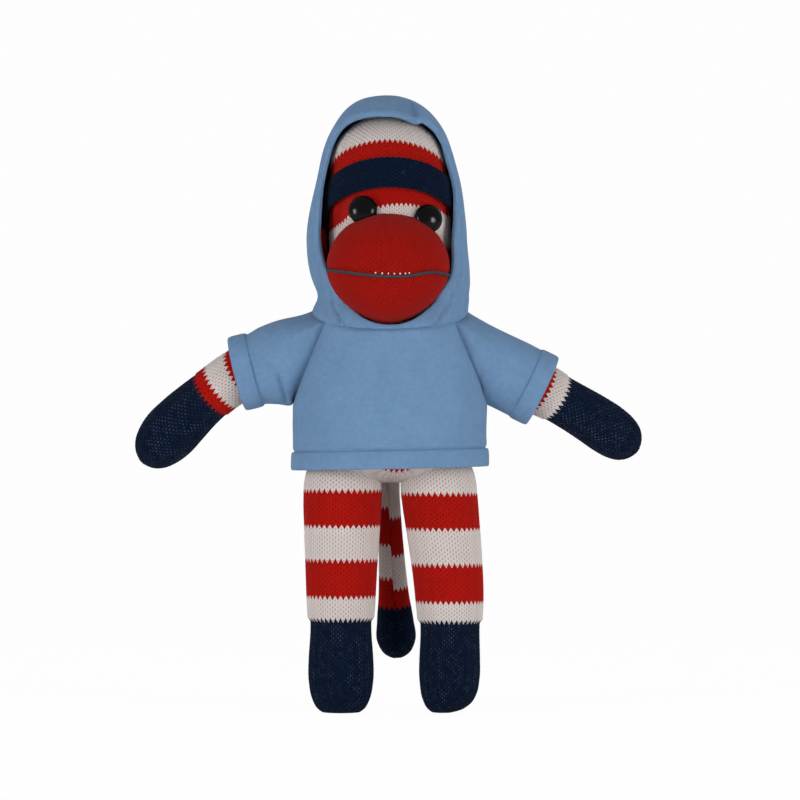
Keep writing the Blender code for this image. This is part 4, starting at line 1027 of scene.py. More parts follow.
knit = knitted("head_knit", grid, (u, (brow - z) / HEAD_COURSE), head_knit)
dress(knit, "head", "striped_knit", "head_skin", fill=0.9)
stuffed("head_stuffing", "head_filling", head_grid(-SKIN_DEPTH, 72, 2 * MM), "head", 0.9)
wad("neck_stuffing", "neck_wad", "neck")
print("head:", len(knit.data.polygons), "faces")

# %% [markdown]
# ## The muzzle
# The muzzle is the sock's red heel, stuffed and sewn to the face: a dome that looks forward, rounder above
# than below. Its wales run upright and spread out over the dome like the lines on a globe, so its stitch
# coordinates are angles about a point inside it. The mouth's yarn pulls a fold into it.

# %% Muzzle
MUZZLE_HEIGHT = 197.6 * MM
MUZZLE_HALF_WIDTH = 27 * MM
MUZZLE_HALF_HEIGHT = 24.8 * MM
MUZZLE_REACH = 47 * MM
MUZZLE_SAG = 2.5 * MM
MUZZLE_DEPTH_SHARES = (0.05, 0.30, 0.52, 0.68, 0.82, 0.92, 0.98, 1)
MUZZLE_SIZE_SHARES = (0.96, 1, 1, 0.94, 0.80, 0.59, 0.31, 0)
MUZZLE_POWERS = (2.05, 1.68)
MUZZLE_ASIDE = -0.8 * MM
MUZZLE_KNIT_RADIUS = MUZZLE_REACH + 10 * MM
MOUTH_PLACES = np.array((-27, -17, -10, -2, 8, 12, 17, 21, 27)) * MM
MOUTH_DROPS = np.array((-0.3, -1.1, -1.9, -2.5, -2.5, -2.0, -1.1, -1.1, -2.6)) * MM
MOUTH_FOLD = 0.6 * MM
MOUTH_FOLD_ABOVE = 0.5 * MM
MOUTH_FOLD_REACH = 1.4 * MM
MUZZLE_RELIEF = 0.25 * MM
MUZZLE_KNIT_BACK = 6 * MM
MUZZLE_STUFFING_DEPTH = 3.2 * MM
JAW_TILT = math.radians(28)

muzzle_path = Path(
    [(MUZZLE_ASIDE, 0, MUZZLE_HEIGHT), (MUZZLE_ASIDE, -MUZZLE_REACH / 2, MUZZLE_HEIGHT - MUZZLE_SAG / 2),
     (MUZZLE_ASIDE, -MUZZLE_REACH, MUZZLE_HEIGHT - MUZZLE_SAG)],
    across=(1, 0, 0),
)


def mouth_drop(x):
    """How far the mouth's line hangs below the dome's middle, through its measured places."""
    curve = through(np.stack([MOUTH_PLACES, MOUTH_DROPS], 1), 200)
    return np.interp(x, curve[:, 0], curve[:, 1])


def muzzle_grid(shrink, columns, step):
    """The dome from its seat in the face to its front. Its base is drawn in and tucked into the head."""
    along = muzzle_path.length * np.array(MUZZLE_DEPTH_SHARES)
    along[-1] -= shrink
    points = np.stack([along, MUZZLE_HALF_WIDTH * np.array(MUZZLE_SIZE_SHARES) - shrink], 1)
    points[-1, 1] = 0
    tucked = np.array([[along[0] + 1 * MM, 0], [along[0] + 0.5 * MM, MUZZLE_HALF_WIDTH * 0.5]])
    points = np.vstack([tucked, points])
    coarse = through(points, 600, None, points[-2] * (1, -1))
    profile = evenly(coarse, int(lengths(coarse)[-1] / step))
    shape = MUZZLE_HALF_HEIGHT / MUZZLE_HALF_WIDTH
    high = np.stack([profile[:, 0], profile[:, 1] * shape], 1)
    grid = swept(muzzle_path, high, columns, MUZZLE_POWERS, half_front=profile[:, 1])
    jaw_front = -(MUZZLE_HEIGHT - grid[..., 2]) * math.tan(JAW_TILT)
    below = grid[..., 2] < MUZZLE_HEIGHT
    grid[..., 1] = np.where(below, np.minimum(grid[..., 1], jaw_front), grid[..., 1])
    return grid


grid = muzzle_grid(0, 380, 0.45 * MM)
x, z = closing(grid)
y = np.hstack([grid[..., 1], grid[:, :1, 1]])
sideways = np.arctan2(x - MUZZLE_ASIDE, MUZZLE_KNIT_BACK - y) * MUZZLE_KNIT_RADIUS / WALE
downward = -np.arctan2(z - MUZZLE_HEIGHT, MUZZLE_KNIT_BACK - y) * MUZZLE_KNIT_RADIUS / COURSE
mouth_height = MUZZLE_HEIGHT + y / MUZZLE_REACH * MUZZLE_SAG + mouth_drop(x - MUZZLE_ASIDE)
fold = MOUTH_FOLD * beside((z - mouth_height)[:, :-1] - MOUTH_FOLD_ABOVE, MOUTH_FOLD_REACH)
grid = grid - outward(grid) * fold[..., None]
red_knit = knit_finish("muzzle_knit", HEEL_RED)
knit = knitted("muzzle_knit", grid, (sideways, downward), red_knit, relief=MUZZLE_RELIEF)
dress(knit, "head", "red_knit", "muzzle_skin", fill=1.0)
stuffed("muzzle_stuffing", "muzzle_filling", muzzle_grid(MUZZLE_STUFFING_DEPTH, 64, 2 * MM), "head", 1.0)
print("muzzle:", len(knit.data.polygons), "faces")

# %% [markdown]
# ## Yarn
# The mouth is one run of navy yarn, laid on the muzzle and caught by tiny stitches. Yarn is three plies
# twisted together, so its section is three lobes that turn as they go along it.

# %% Yarn
PLY_TWISTS_PER_RADIUS = 0.16
PLY_GROOVE_SHARE = 0.14
YARN_STEP_SHARE = 0.3


def yarn(name, points, radius, finish):
    """A twisted tube along points: its radius rises and falls three times round, and turns along it."""
    path = Path(points)
    along = np.linspace(0, path.length, int(path.length / (radius * YARN_STEP_SHARE)))
    turn = full_turn(18)
    twist = along[:, None] / radius * PLY_TWISTS_PER_RADIUS * math.tau
    lobes = 1 - PLY_GROOVE_SHARE + PLY_GROOVE_SHARE * np.abs(np.cos(1.5 * (turn - twist)))
    lobes[[0, -1]] = 0
    point, _, side, front = path.at(along)
    reach = radius * lobes[..., None]
    ring = side[:, None] * np.cos(turn)[:, None] + front[:, None] * np.sin(turn)[:, None]
    return surface(name, point[:, None] + ring * reach, finish, poles=(True, True))


navy_yarn = Finish("navy_yarn", 0.9, Specular_IOR_Level=0.15)
strands = navy_yarn.noise(2200, detail=3)
navy_yarn.feed("Base Color", navy_yarn.mix(strands, linear(8, 14, 26), linear(18, 27, 44)))
navy_yarn.bump(strands, 0.15 * MM)
MOUTH_RADIUS = 0.68 * MM
MOUTH_WIDTH_SHARE = 0.985
MOUTH_POINTS = 81

turns = np.linspace(-1, 1, MOUTH_POINTS)
bow = np.sin(turns * math.pi / 2)
size = np.array(MUZZLE_SIZE_SHARES[2:])[::-1]
depth = np.interp(np.abs(bow) * MOUTH_WIDTH_SHARE, size, np.array(MUZZLE_DEPTH_SHARES[2:])[::-1])
point, way, _, _ = muzzle_path.at(depth * muzzle_path.length)
out = np.stack([bow, 0 * bow, 0 * bow], 1) + way * np.cos(turns * math.pi / 2)[:, None]
x = MUZZLE_HALF_WIDTH * MOUTH_WIDTH_SHARE * bow
point = point + np.stack([x, 0 * bow, mouth_drop(x)], 1)
mouth = yarn("mouth_yarn", point + out * MOUTH_RADIUS * 0.2, MOUTH_RADIUS, navy_yarn)
dress(mouth, "head", "navy_yarn", "mouth_stitch")

pale_thread = Finish("pale_thread", 0.8, Base_Color=linear(214, 196, 190))
pale_thread.bump(pale_thread.noise(2600), 0.05 * MM)
CATCH_PLACES = np.array((-5.4, -2.5, 0.2, 2.8, 5.3, 7.6, 9.3)) * MM
CATCH_LENGTH = 0.75 * MM
CATCH_RADIUS = 0.26 * MM
CATCH_RISE = 1.25 * MM
CATCH_SUNK, CATCH_LEAN = 0.2 * MM, 0.15 * MM
catches = []
for place in CATCH_PLACES:
    centre = read(place, x, point) + (0, CATCH_SUNK, CATCH_RISE)
    ends = [centre + (0, CATCH_LEAN, CATCH_LENGTH / 2), centre, centre - (0, 0, CATCH_LENGTH / 2)]
    catches.append(yarn("mouth_catches", ends, CATCH_RADIUS, pale_thread))
dress(joined(catches), "head", "white_knit")

TIE_RADIUS = 1 * MM
ring_turns = np.linspace(0, math.tau, 60)
tie_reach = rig.box("neck_tie")[1][0] - TIE_RADIUS
tie_points = NECK + np.stack([np.cos(ring_turns), np.sin(ring_turns), 0 * ring_turns], 1) * tie_reach
dress(yarn("neck_thread", tie_points, TIE_RADIUS, navy_yarn), "torso", "navy_yarn", "neck_tie")

# %% [markdown]
# ## The eyes
# Each eye is a turned plastic dome with a rim and a ribbed post, held by a washer behind the knit. A lathe
# shape is one profile turned about a line, so the profile is all that has to be drawn. The washer pulls the
# eye's flat back into the knit, so the head was pressed flat behind each eye, and the eye looks a little
# less outwards than the round head would turn it.

# %% Eyes
def turned(name, start, way, profile, finish, columns=72):
    """A lathe shape: a profile of (distance, radius) turned about the line from start along way."""
    way = np.array(way) / np.linalg.norm(way)
    path = Path([start, start + way * 5 * MM, start + way * 10 * MM], across=(0, 0, 1))
    grid = swept(path, np.array(profile), columns)
    closed_ends = (profile[0][1] == 0, profile[-1][1] == 0)
    return surface(name, grid, finish, poles=closed_ends)


black_plastic = Finish("black_plastic", 0.1, IOR=1.45, Specular_IOR_Level=0.15, Base_Color=linear(4, 4, 5))
scuffs = black_plastic.noise(700, detail=3)
black_plastic.feed("Roughness", 0.07 + scuffs * 0.05)
white_plastic = Finish("white_plastic", 0.4, Base_Color=linear(225, 225, 220))
white_plastic.bump(white_plastic.noise(500), 0.05 * MM)
EYE_DOME = 3.4 * MM
EYE_RIM = 1 * MM
EYE_POST_RADIUS = 1.6 * MM
EYE_POST_LENGTH = 8 * MM
WASHER_DEPTH = 3.6 * MM
WASHER_RADIUS = 5 * MM
WASHER_THICKNESS = 1.2 * MM
WASHER_GRIP = 0.35 * MM
SHARP_EDGE = math.radians(50)

for side, (seat, out) in EYES.items():
    turns = np.linspace(0, math.pi / 2, 24)
    dome = np.stack([-EYE_RIM - EYE_DOME * np.cos(turns), EYE_RADIUS * np.sin(turns)], 1)
    dome[0, 1] = 0
    rim = [(-EYE_RIM * 0.7, EYE_RADIUS * 1.005), (-EYE_RIM * 0.3, EYE_RADIUS), (0, EYE_RADIUS * 0.97)]
    ribs = []
    for rib in np.arange(1, EYE_POST_LENGTH / MM - 0.5, 0.5) * MM:
        ribs.append((rib, EYE_POST_RADIUS * (1 if round(rib / MM * 2) % 2 else 0.86)))
    tail = [(0, EYE_POST_RADIUS)] + ribs + [(EYE_POST_LENGTH, EYE_POST_RADIUS * 0.7), (EYE_POST_LENGTH, 0)]
    eye = turned(side + "_eye_dome", seat, -out, list(map(tuple, dome)) + rim + tail, black_plastic)
    eye.data.set_sharp_from_angle(angle=SHARP_EDGE)
    dress(eye, "head", "black_plastic", side + "_eye")
    grip = EYE_POST_RADIUS + WASHER_GRIP
    near, far = WASHER_DEPTH, WASHER_DEPTH + WASHER_THICKNESS
    loop = [(near, grip), (near, WASHER_RADIUS), (far, WASHER_RADIUS), (far, grip), (near, grip)]
    washer = turned(side + "_eye_lock", seat, -out, loop, white_plastic, 48)
    washer.data.set_sharp_from_angle(angle=SHARP_EDGE)
    dress(washer, "head", "white_plastic", side + "_eye_washer")

# %% [markdown]
# ## Ears
# Two flat stuffed lobes lie against the head under the hood.

# %% Ears
ear_knit = knit_finish("ear_knit", RED)
EAR_RELIEF = 0.3 * MM
for side in ("left", "right"):
    low, high = (np.array(corner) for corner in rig.box(side + "_ear"))
    middle, half = (low + high) / 2, (high - low) / 2
    path = Path([middle, middle + (0, 0, half[2] / 2), middle + (0, 0, half[2])])
    turns = np.linspace(0, math.pi, 70)
    profile = np.stack([-half[2] * np.cos(turns), half[0] * np.sin(turns)], 1)
    grid = swept(path, profile, 120, half_front=half[1] * np.sin(turns))
    ear = knitted(side + "_ear_knit", grid, tube_uv(grid, 0), ear_knit, relief=EAR_RELIEF)
    dress(ear, "head", "red_knit", side + "_ear", fill=0.7)

# %% [markdown]
# ## The hat
# Under the hood is a knitted hat: a crown that follows the head, white and red, and a broad navy cuff
# turned up round its rim. The rim is a level plane tipped up at the front. The crown's grid is the head's
# own, let out by the fabric, with its lowest rows laid along the rim.

# %% Hat
HAT_RIM = 218.2 * MM
HAT_TILT = math.radians(26)
HAT_CUFF = 12.4 * MM
HAT_GROW = 1.25 * MM
CUFF_GROW = 3 * MM
CUFF_THICKNESS = 1.4 * MM
HAT_BAND = 21.4 * MM
HAT_COLUMNS = 400
CUFF_WALES, CROWN_WALES = 64, 62
CUFF_RELIEF = 0.4 * MM
CROWN_FULLER = 1.5 * MM
CROWN_FULL_FROM, CROWN_FULL = 236 * MM, 250 * MM
CROWN_FULL_TO, CROWN_FULL_END = 256 * MM, 266 * MM
CROWN_ASIDE = 1.1 * MM
CROWN_ASIDE_FROM = 232 * MM


def head_radius(height, grow):
    """The head's half width at a height, let out by grow."""
    profile = head_profile(grow, 0.5 * MM)
    return np.interp(height, profile[:, 0] + HEAD_BASE - grow, profile[:, 1])


def on_head(height, turn, grow):
    """Points of the let-out head at heights and turns. Turn 0 is +X and a quarter turn is the front."""
    half = head_radius(height, grow)
    across, ahead = np.cos(turn), np.sin(turn)
    return np.stack([half * across, -half * ahead * HEAD_DEPTH_SHARE, height], -1)


def tilted_rows(turn, start, end, grow, rows):
    """Heights for a band between two planes tilted as the hat's rim is, for each turn."""
    heights = np.linspace(start, end, rows)[:, None] + 0 * turn
    for _ in range(12):
        y = on_head(heights, turn + 0 * heights, grow)[..., 1]
        heights = np.linspace(start, end, rows)[:, None] - math.tan(HAT_TILT) * y
    return heights


turn = full_turn(HAT_COLUMNS)
rise = HAT_CUFF / math.cos(HAT_TILT)
heights = tilted_rows(turn, HAT_RIM, HAT_RIM + rise, CUFF_GROW, 36)
outer = on_head(heights, turn + 0 * heights, CUFF_GROW)
inner = on_head(heights, turn + 0 * heights, CUFF_GROW - CUFF_THICKNESS)
fold_turns = np.linspace(0, math.pi, 7)[1:-1][:, None, None]
middle, half = (outer + inner) / 2, (outer - inner) / 2
up = np.array((0, -math.sin(HAT_TILT), math.cos(HAT_TILT))) * CUFF_THICKNESS / 2
low_fold = middle[0] - half[0] * np.cos(fold_turns) - up * np.sin(fold_turns)
top_fold = middle[-1] + half[-1] * np.cos(fold_turns) + up * np.sin(fold_turns)
loop = np.concatenate([outer, top_fold, inner[::-1], low_fold, outer[:1]])
uv = tube_uv(loop, 0, wales=CUFF_WALES, upward=True)
cuff_knit = knit_finish("hat_cuff_knit", NAVY, specks=0.06)
relief = stitch_height(uv[0][:, :-1], uv[1][:, :-1]) - 1
relief[-1] = relief[0]
loop = loop + outward(loop) * (CUFF_RELIEF * relief)[..., None]
loop[-1] = loop[0]
dress(welded(surface("hat_cuff_knit", loop, cuff_knit, uv=uv)), "head", "navy_knit", "hat_cuff")

profile = head_profile(HAT_GROW, 0.3 * MM)
along = lengths(profile)
rim_height = tilted_rows(turn, HAT_RIM + 1 * MM, HAT_RIM + 1 * MM, HAT_GROW, 1)[0]
rim_along = np.interp(rim_height, profile[:, 0] + HEAD_BASE - HAT_GROW, along)
up_profile = rim_along + (along[-1] - rim_along) * np.linspace(0, 1, 150)[:, None]
height = np.interp(up_profile, along, profile[:, 0]) + HEAD_BASE - HAT_GROW
half = np.interp(up_profile, along, profile[:, 1])
fuller = ease(height, CROWN_FULL_FROM, CROWN_FULL) * (1 - ease(height, CROWN_FULL_TO, CROWN_FULL_END))
fuller = CROWN_FULLER * fuller
aside = CROWN_ASIDE * ease(height, CROWN_ASIDE_FROM, CROWN_FULL)
across = (half + fuller) * np.cos(turn) - aside
grid = np.stack([across, -half * np.sin(turn) * HEAD_DEPTH_SHARE, height], -1)
u, _ = tube_uv(grid, 0, wales=CROWN_WALES)
v = (HAT_BAND - (up_profile - rim_along)) / COURSE
hat_knit = knit_finish("hat_knit", WHITE, (0, RED))
crown = knitted("hat_crown_knit", grid, (u, np.hstack([v, v[:, :1]])), hat_knit, poles=(False, True))
dress(crown, "head", "striped_knit", "hat_crown")

# %% [markdown]
# ## Fleece
# The jacket is a brushed fleece: no weave shows, only a soft heather of lighter and darker fibre, and a nap
# that catches the light along the edges. Broad noise gives the heather, fine noise gives the nap its bump,
# and a little sheen gives the soft edge.

# %% Fleece finish
fleece = Finish("blue_fleece", 0.95, Sheen_Weight=0.1, Sheen_Roughness=0.5, Specular_IOR_Level=0)
heather = fleece.noise(420, detail=4) * 0.6 + fleece.noise(90, detail=2) * 0.4
nap = fleece.noise(1900, detail=4)
shade = fleece.mix((heather * 2.2 - 0.6).clipped(), linear(92, 122, 154), linear(104, 135, 169))
fleece.feed("Base Color", fleece.mix((nap * 1.6 - 0.7).clipped() * 0.4, shade, linear(82, 113, 148)))
fleece.bump(nap * 0.7 + heather * 0.3, 0.5 * MM, 0.55)

# %% [markdown]
# Cloth starts as an open sheet that is one face deep. A sheet that spans a joint is cut by a plane there,
# so that each part bends over one joint only, and then it gets its thickness. A declared sheet says how
# large it was cut.

# %% Cloth helpers
FLEECE = 1.6 * MM
NARROWEST_CUT = 10.2 * MM
FOLD_EDGE = math.radians(60)


def cut(piece, point, way, name=None, close=False):
    """Cut a piece by a plane. What lies ahead along way becomes a new piece of that name, or is dropped."""
    found = []
    for title, ahead in ((piece.name, False), (name, True)):
        if title is None:
            continue
        work = bmesh.new()
        work.from_mesh(piece.data)
        everything = work.verts[:] + work.edges[:] + work.faces[:]
        made = bmesh.ops.bisect_plane(
            work, geom=everything, plane_co=point, plane_no=way, clear_outer=not ahead, clear_inner=ahead
        )
        if close:
            rim = [part for part in made["geom_cut"] if isinstance(part, bmesh.types.BMEdge)]
            bmesh.ops.holes_fill(work, edges=rim, sides=0)
        mesh = bpy.data.meshes.new(title)
        work.to_mesh(mesh)
        work.free()
        mesh.materials.append(piece.data.materials[0])
        found.append(mesh)
    piece.data = found[0]
    if name is None:
        return piece
    other = bpy.data.objects.new(name, found[1])
    bpy.context.scene.collection.objects.link(other)
    return other


def thick(piece, depth=FLEECE):
    """Give an open sheet its thickness, inwards from the face that shows."""
    solid = piece.modifiers.new("thickness", "SOLIDIFY")
    solid.thickness = depth
    solid.offset = -1
    graph = bpy.context.evaluated_depsgraph_get()
    mesh = bpy.data.meshes.new_from_object(piece.evaluated_get(graph))
    piece.modifiers.clear()
    piece.data = mesh
    mesh.set_sharp_from_angle(angle=FOLD_EDGE)
    return piece


def cloth(piece, width, held, rests_on):
    """Declare a sheet by its cut width. Half of its surface is the cloth's area, which gives its length."""
    area = sum(face.area for face in piece.data.polygons) / 2
    length = max(area / width, NARROWEST_CUT)
    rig.slot(piece, "blue_fleece")
    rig.sheet(piece, flat=(width, length), held=held, rests_on=rests_on)
    print(piece.name, "was cut", round(width / MM), "by", round(length / MM, 1), "mm")


# %% [markdown]
# ## The jacket's body
# Front and back are one panel each, sewn at the sides and open along the two raglan seams, where the
# sleeves go in. Each row of a panel runs from seam to seam, so the grid's own edge is the seam, and nothing
# has to be cut. The top edge is a tilted plane, higher behind. Every edge that is sewn dips a little and
# turns inwards, as a seam allowance does, so two pieces that share a seam line close it between them.

# %% Jacket body
HEM_BOTTOM = 108.5 * MM
HEM_TOP = 116.5 * MM
NECKLINE = 177.2 * MM
NECKLINE_SLOPE = math.tan(math.radians(12.5))
JACKET_RISE_SHARES = (0, 0.12, 0.32, 0.5, 0.66, 0.8, 0.9, 1, 1.16)
JACKET_HALF_WIDTHS = [43.7 * share for share in (1, 0.995, 0.985, 0.99, 0.95, 0.88, 0.83)] + [34.8, 34.8]
JACKET_HALF_DEPTHS = [29.7 * share for share in (1, 1.01, 1.03, 1.04, 1.04, 1.06, 1.09)] + [33, 33]
RAGLAN_OUT = 28.9 * MM
RAGLAN_TOP = 174 * MM
RAGLAN_SLOPE = math.tan(math.radians(23))
SEAM_DEPTH = 0.8 * MM
TURNING = 2.2 * MM
HEM_SLANT = 0.021
HEM_SLANT_REACH = 35 * MM
SEAM_CALM = 5 * MM
ROUNDS = 30
WELD = 0.05 * MM
JACKET_GIRTH = 190 * MM
HEM_GIRTH = 235 * MM
jacket_curve = through(np.stack([
    HEM_BOTTOM + (NECKLINE - HEM_BOTTOM) * np.array(JACKET_RISE_SHARES),
    np.array(JACKET_HALF_WIDTHS) * MM,
    np.array(JACKET_HALF_DEPTHS) * MM,
], 1), 500)


def jacket_size(height):
    """The jacket's half width and half depth at a height."""
    return np.moveaxis(read(height, jacket_curve[:, 0], jacket_curve[:, 1:]), -1, 0)


def jacket_point(height, turn):
    """The jacket's point at a height and a turn, which is 0 at +X and a quarter turn at the front."""
    wide, deep = jacket_size(height)
    return np.stack([wide * np.cos(turn), -deep * np.sin(turn), height + 0 * turn], -1)


def raglan_turn(height):
    """How far round the oval from its side the raglan seam lies. Below the underarm it is 0."""
    wide, _ = jacket_size(height)
    return np.arccos(np.clip((RAGLAN_OUT - (height - RAGLAN_TOP) * RAGLAN_SLOPE) / wide, 0, 1))


def oval_normal(point, size, back=0.0):
    """The unit normal of a stack of ovals at points on it: the slope of (x / wide)^2 + (y / deep)^2, where
    wide and deep change with height too."""
    x, y, z = point[..., 0], point[..., 1] - back, point[..., 2]
    (wide, deep), above, below = size(z), size(z + MM / 2), size(z - MM / 2)
    rise = x**2 / wide**3 * (above[0] - below[0]) + y**2 / deep**3 * (above[1] - below[1])
    normal = np.stack([x / wide**2, y / deep**2, -rise / MM], -1)
    return normal / np.linalg.norm(normal, axis=-1, keepdims=True)


def on_neckline(height, depth_at):
    """The heights at which a form meets the slanting plane of the neckline, where depth_at gives the form's Y
    at heights. Each round moves them closer, until they no longer change."""
    for _ in range(ROUNDS):
        height = NECKLINE + depth_at(height) * NECKLINE_SLOPE
    return height


def neckline_point(turn):
    """The jacket's points on the neckline, at turns."""
    height = on_neckline(NECKLINE + 0 * turn, lambda height: jacket_point(height, turn)[..., 1])
    return jacket_point(height, turn)


def raglan_distance(grid):
    """How far points lie beyond the nearer raglan plane, measured square to it."""
    out = np.abs(grid[..., 0]) - RAGLAN_OUT + (grid[..., 2] - RAGLAN_TOP) * RAGLAN_SLOPE
    return out * math.cos(math.atan(RAGLAN_SLOPE))


def hanging(grid, amount=0.3 * MM):
    """Broad shallow waves that cloth takes where it hangs: slow sines at unlike slants."""
    x, y, z = (grid[..., axis] / MM for axis in range(3))
    crossing = np.sin(x * 0.13 + z * 0.09 + 1.1) * np.sin(z * 0.11 - y * 0.08 + 0.4)
    return amount * (crossing + 0.5 * np.sin(z * 0.2))


def hem_drop(point):
    """How much the hem hangs lower on the left than on the right, fading out above it."""
    return HEM_SLANT * point[..., 0] * (1 - ease(point[..., 2], HEM_TOP, HEM_TOP + HEM_SLANT_REACH))


def jacket_panel(front, rows=80, columns=160):
    """One panel of the body: rows up it, and columns from seam to seam, ordered so that it faces outwards."""
    rise = np.linspace(0, 1, rows)[:, None]
    share = np.linspace(0, 1, columns)[None]
    low = HEM_TOP - 1 * MM
    top = NECKLINE
    for _ in range(ROUNDS):
        height = low + (top - low) * rise + 0 * share
        first = raglan_turn(height)
        turn = first + (math.pi - 2 * first) * share
        if not front:
            turn = turn - math.pi
        point = jacket_point(height, turn)
        top = NECKLINE + point[..., 1] * NECKLINE_SLOPE
    normal = oval_normal(point, jacket_size)
    seam = np.minimum(-raglan_distance(point), top - height)
    dent = np.maximum(beside(seam), beside(height - HEM_TOP))
    shape = point + normal * (hanging(point) * ease(seam, 0, SEAM_CALM) - SEAM_DEPTH * dent)[..., None]
    shape[..., 2] += hem_drop(point)
    shape = np.concatenate([shape, shape[-1:] - normal[-1:] * TURNING], 0)
    sides = np.concatenate([normal, normal[-1:]], 0) * TURNING
    return np.concatenate([shape[:, :1] - sides[:, :1], shape, shape[:, -1:] - sides[:, -1:]], 1)


def sewn(name, grids, finish):
    """One sheet from several open grids, joined where their edges meet."""
    return welded(joined([surface(name, grid, finish, closed=False) for grid in grids]), WELD)


body = thick(sewn("jacket_body", [jacket_panel(True), jacket_panel(False)], fleece))
cloth(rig.replaces(body, "hoodie_body"), JACKET_GIRTH, "gathered", ["torso_knit"])
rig.ride(body, "torso")

# %% [markdown]
# ## Hems and cuffs
# A hem is the cloth's edge turned up and sewn down: a flat hoop with soft round edges. Its section is a
# superellipse, which is a flat bar with rounded corners in one formula, carried round the opening.

# %% Hoops
HOOP_POWER = 4
HEM_PROUD = 0.5 * MM
CUFF_WIDTH = 8.6 * MM
CUFF_PROUD = 1.0 * MM


def hoop_section(length, proud, depth, count=44):
    """Points (along, out) of a flat bar with rounded corners, ordered so that a hoop faces outwards."""
    turns = np.linspace(0, -math.tau, count + 1)
    along, out = oval(turns, (HOOP_POWER, HOOP_POWER))
    return length / 2 * along, (proud - depth) / 2 + (proud + depth) / 2 * out


def hoop(name, path, middle, size, length, proud, columns, drop=None):
    """A turned edge: the bar's section carried round path's oval. size(distance) gives its half sizes."""
    along, out = hoop_section(length, proud, FLEECE)
    distance = middle + along
    side, deep = size(distance)
    grid = swept(path, np.stack([distance, side + out], 1), columns, half_front=deep + out)
    if drop is not None:
        grid[..., 2] += drop(grid)
    grid[-1] = grid[0]
    return welded(surface(name, grid, fleece))


upright = vertical(0)
hem_middle, hem_width = (HEM_BOTTOM + HEM_TOP) / 2, HEM_TOP - HEM_BOTTOM
hem = hoop("jacket_hem", upright, hem_middle, jacket_size, hem_width, HEM_PROUD, 260, hem_drop)
cloth(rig.replaces(hem, "hoodie_hem"), HEM_GIRTH, "gathered", ["jacket_body"])
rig.ride(hem, "torso")

# %% [markdown]
# ## Sleeves
# A raglan sleeve starts at a slanting seam that runs from the neck to the underarm, and ends in a round
# cuff. Its surface is a loft: a first loop that is exactly the armhole's edge, then rounds of the sleeve's
# own tube. Each column is the smooth curve through the points that have the same place on every loop. It
# crosses two joints, the shoulder's two hinges, so it is two pieces that each bend over one.

# %% Sleeves
SLEEVE_HALF_HEIGHT = 16.6 * MM
SLEEVE_HALF_DEPTH = 15.4 * MM
SLEEVE_INSIDE = 10 * MM
SLEEVE_DROP = 2 * MM
SLEEVE_STATION_SHARES = (0, 0.2, 0.35, 0.62, 1)
SLEEVES = {
    "left": dict(
        lengths=(SLEEVE_INSIDE, 10 * MM, 10.3 * MM), slopes=(8, 8, 14),
        shares=(0.85, 1.05, 1.18, 1.14, 0.96),
    ),
    "right": dict(
        lengths=(SLEEVE_INSIDE, 10.5 * MM, 11.5 * MM), slopes=(0, 22, 26),
        shares=(0.85, 1.02, 1.08, 0.97, 0.96),
    ),
}
SLEEVE_SPLIT_SHARE = 0.81
SLEEVE_LOOP_SHARES = (0.62, SLEEVE_SPLIT_SHARE, 1, 1.08)
SLEEVE_COLUMNS = 200
SLEEVE_WAVE = 0.35 * MM
CREASE_TOP = (-49.4 * MM, 148.2 * MM)
CREASE_LOW = (-46.7 * MM, 140 * MM)
CREASE_HALF = 1.3 * MM
SLEEVE_CREASE_DEPTH = 1.6 * MM
CUFF_GAP = 0.2 * MM
SLEEVE_GIRTH, CUFF_GIRTH = 100 * MM, 98 * MM
SLEEVE_BEND = (43.5 * MM, 51.5 * MM)
UNDERARM = RAGLAN_TOP - (jacket_curve[:, 1].max() - 0.4 * MM - RAGLAN_OUT) / RAGLAN_SLOPE


def armhole(out, count):
    """The armhole's loop from the neckline's side down the front seam, under the arm and up the back one."""
    halves = []
    for front in (1, -1):
        top = on_neckline(NECKLINE, lambda height: jacket_point(height, front * raglan_turn(height))[..., 1])
        neck = neckline_point(front * np.linspace(0, 1, 40) * raglan_turn(top))
        down = top + (UNDERARM - top) * (1 - (1 - np.linspace(0, 1, 200)[1:]) ** 2)
        seam = jacket_point(down, front * raglan_turn(down))
        halves.append(evenly(np.vstack([neck, seam]), count // 2 + 1))
    loop = np.vstack([halves[0][:-1], halves[1][:0:-1]])
    return loop * (out, 1, 1)


def loft(loops, rows):
    """A grid through loops of points, one smooth curve for each column."""
    flat = through(np.array(loops).reshape(len(loops), -1), rows)
    return flat.reshape(rows, -1, 3)


def front_crease(grid):
    """1 in the short fold at the front of the left sleeve, which runs between two places (x, z), and 0 away
    from it."""
    (top_x, top_z), (low_x, low_z) = CREASE_TOP, CREASE_LOW
    x, z = grid[..., 0], grid[..., 2]
    level = np.clip((z - low_z) / (top_z - low_z), -0.6, 1.2)
    in_span = ease(z, low_z - 5 * MM, low_z) * (1 - ease(z, top_z - 1 * MM, top_z + 4 * MM))
    return beside(x - (low_x + (top_x - low_x) * level), CREASE_HALF) * in_span * (grid[..., 1] < 0)


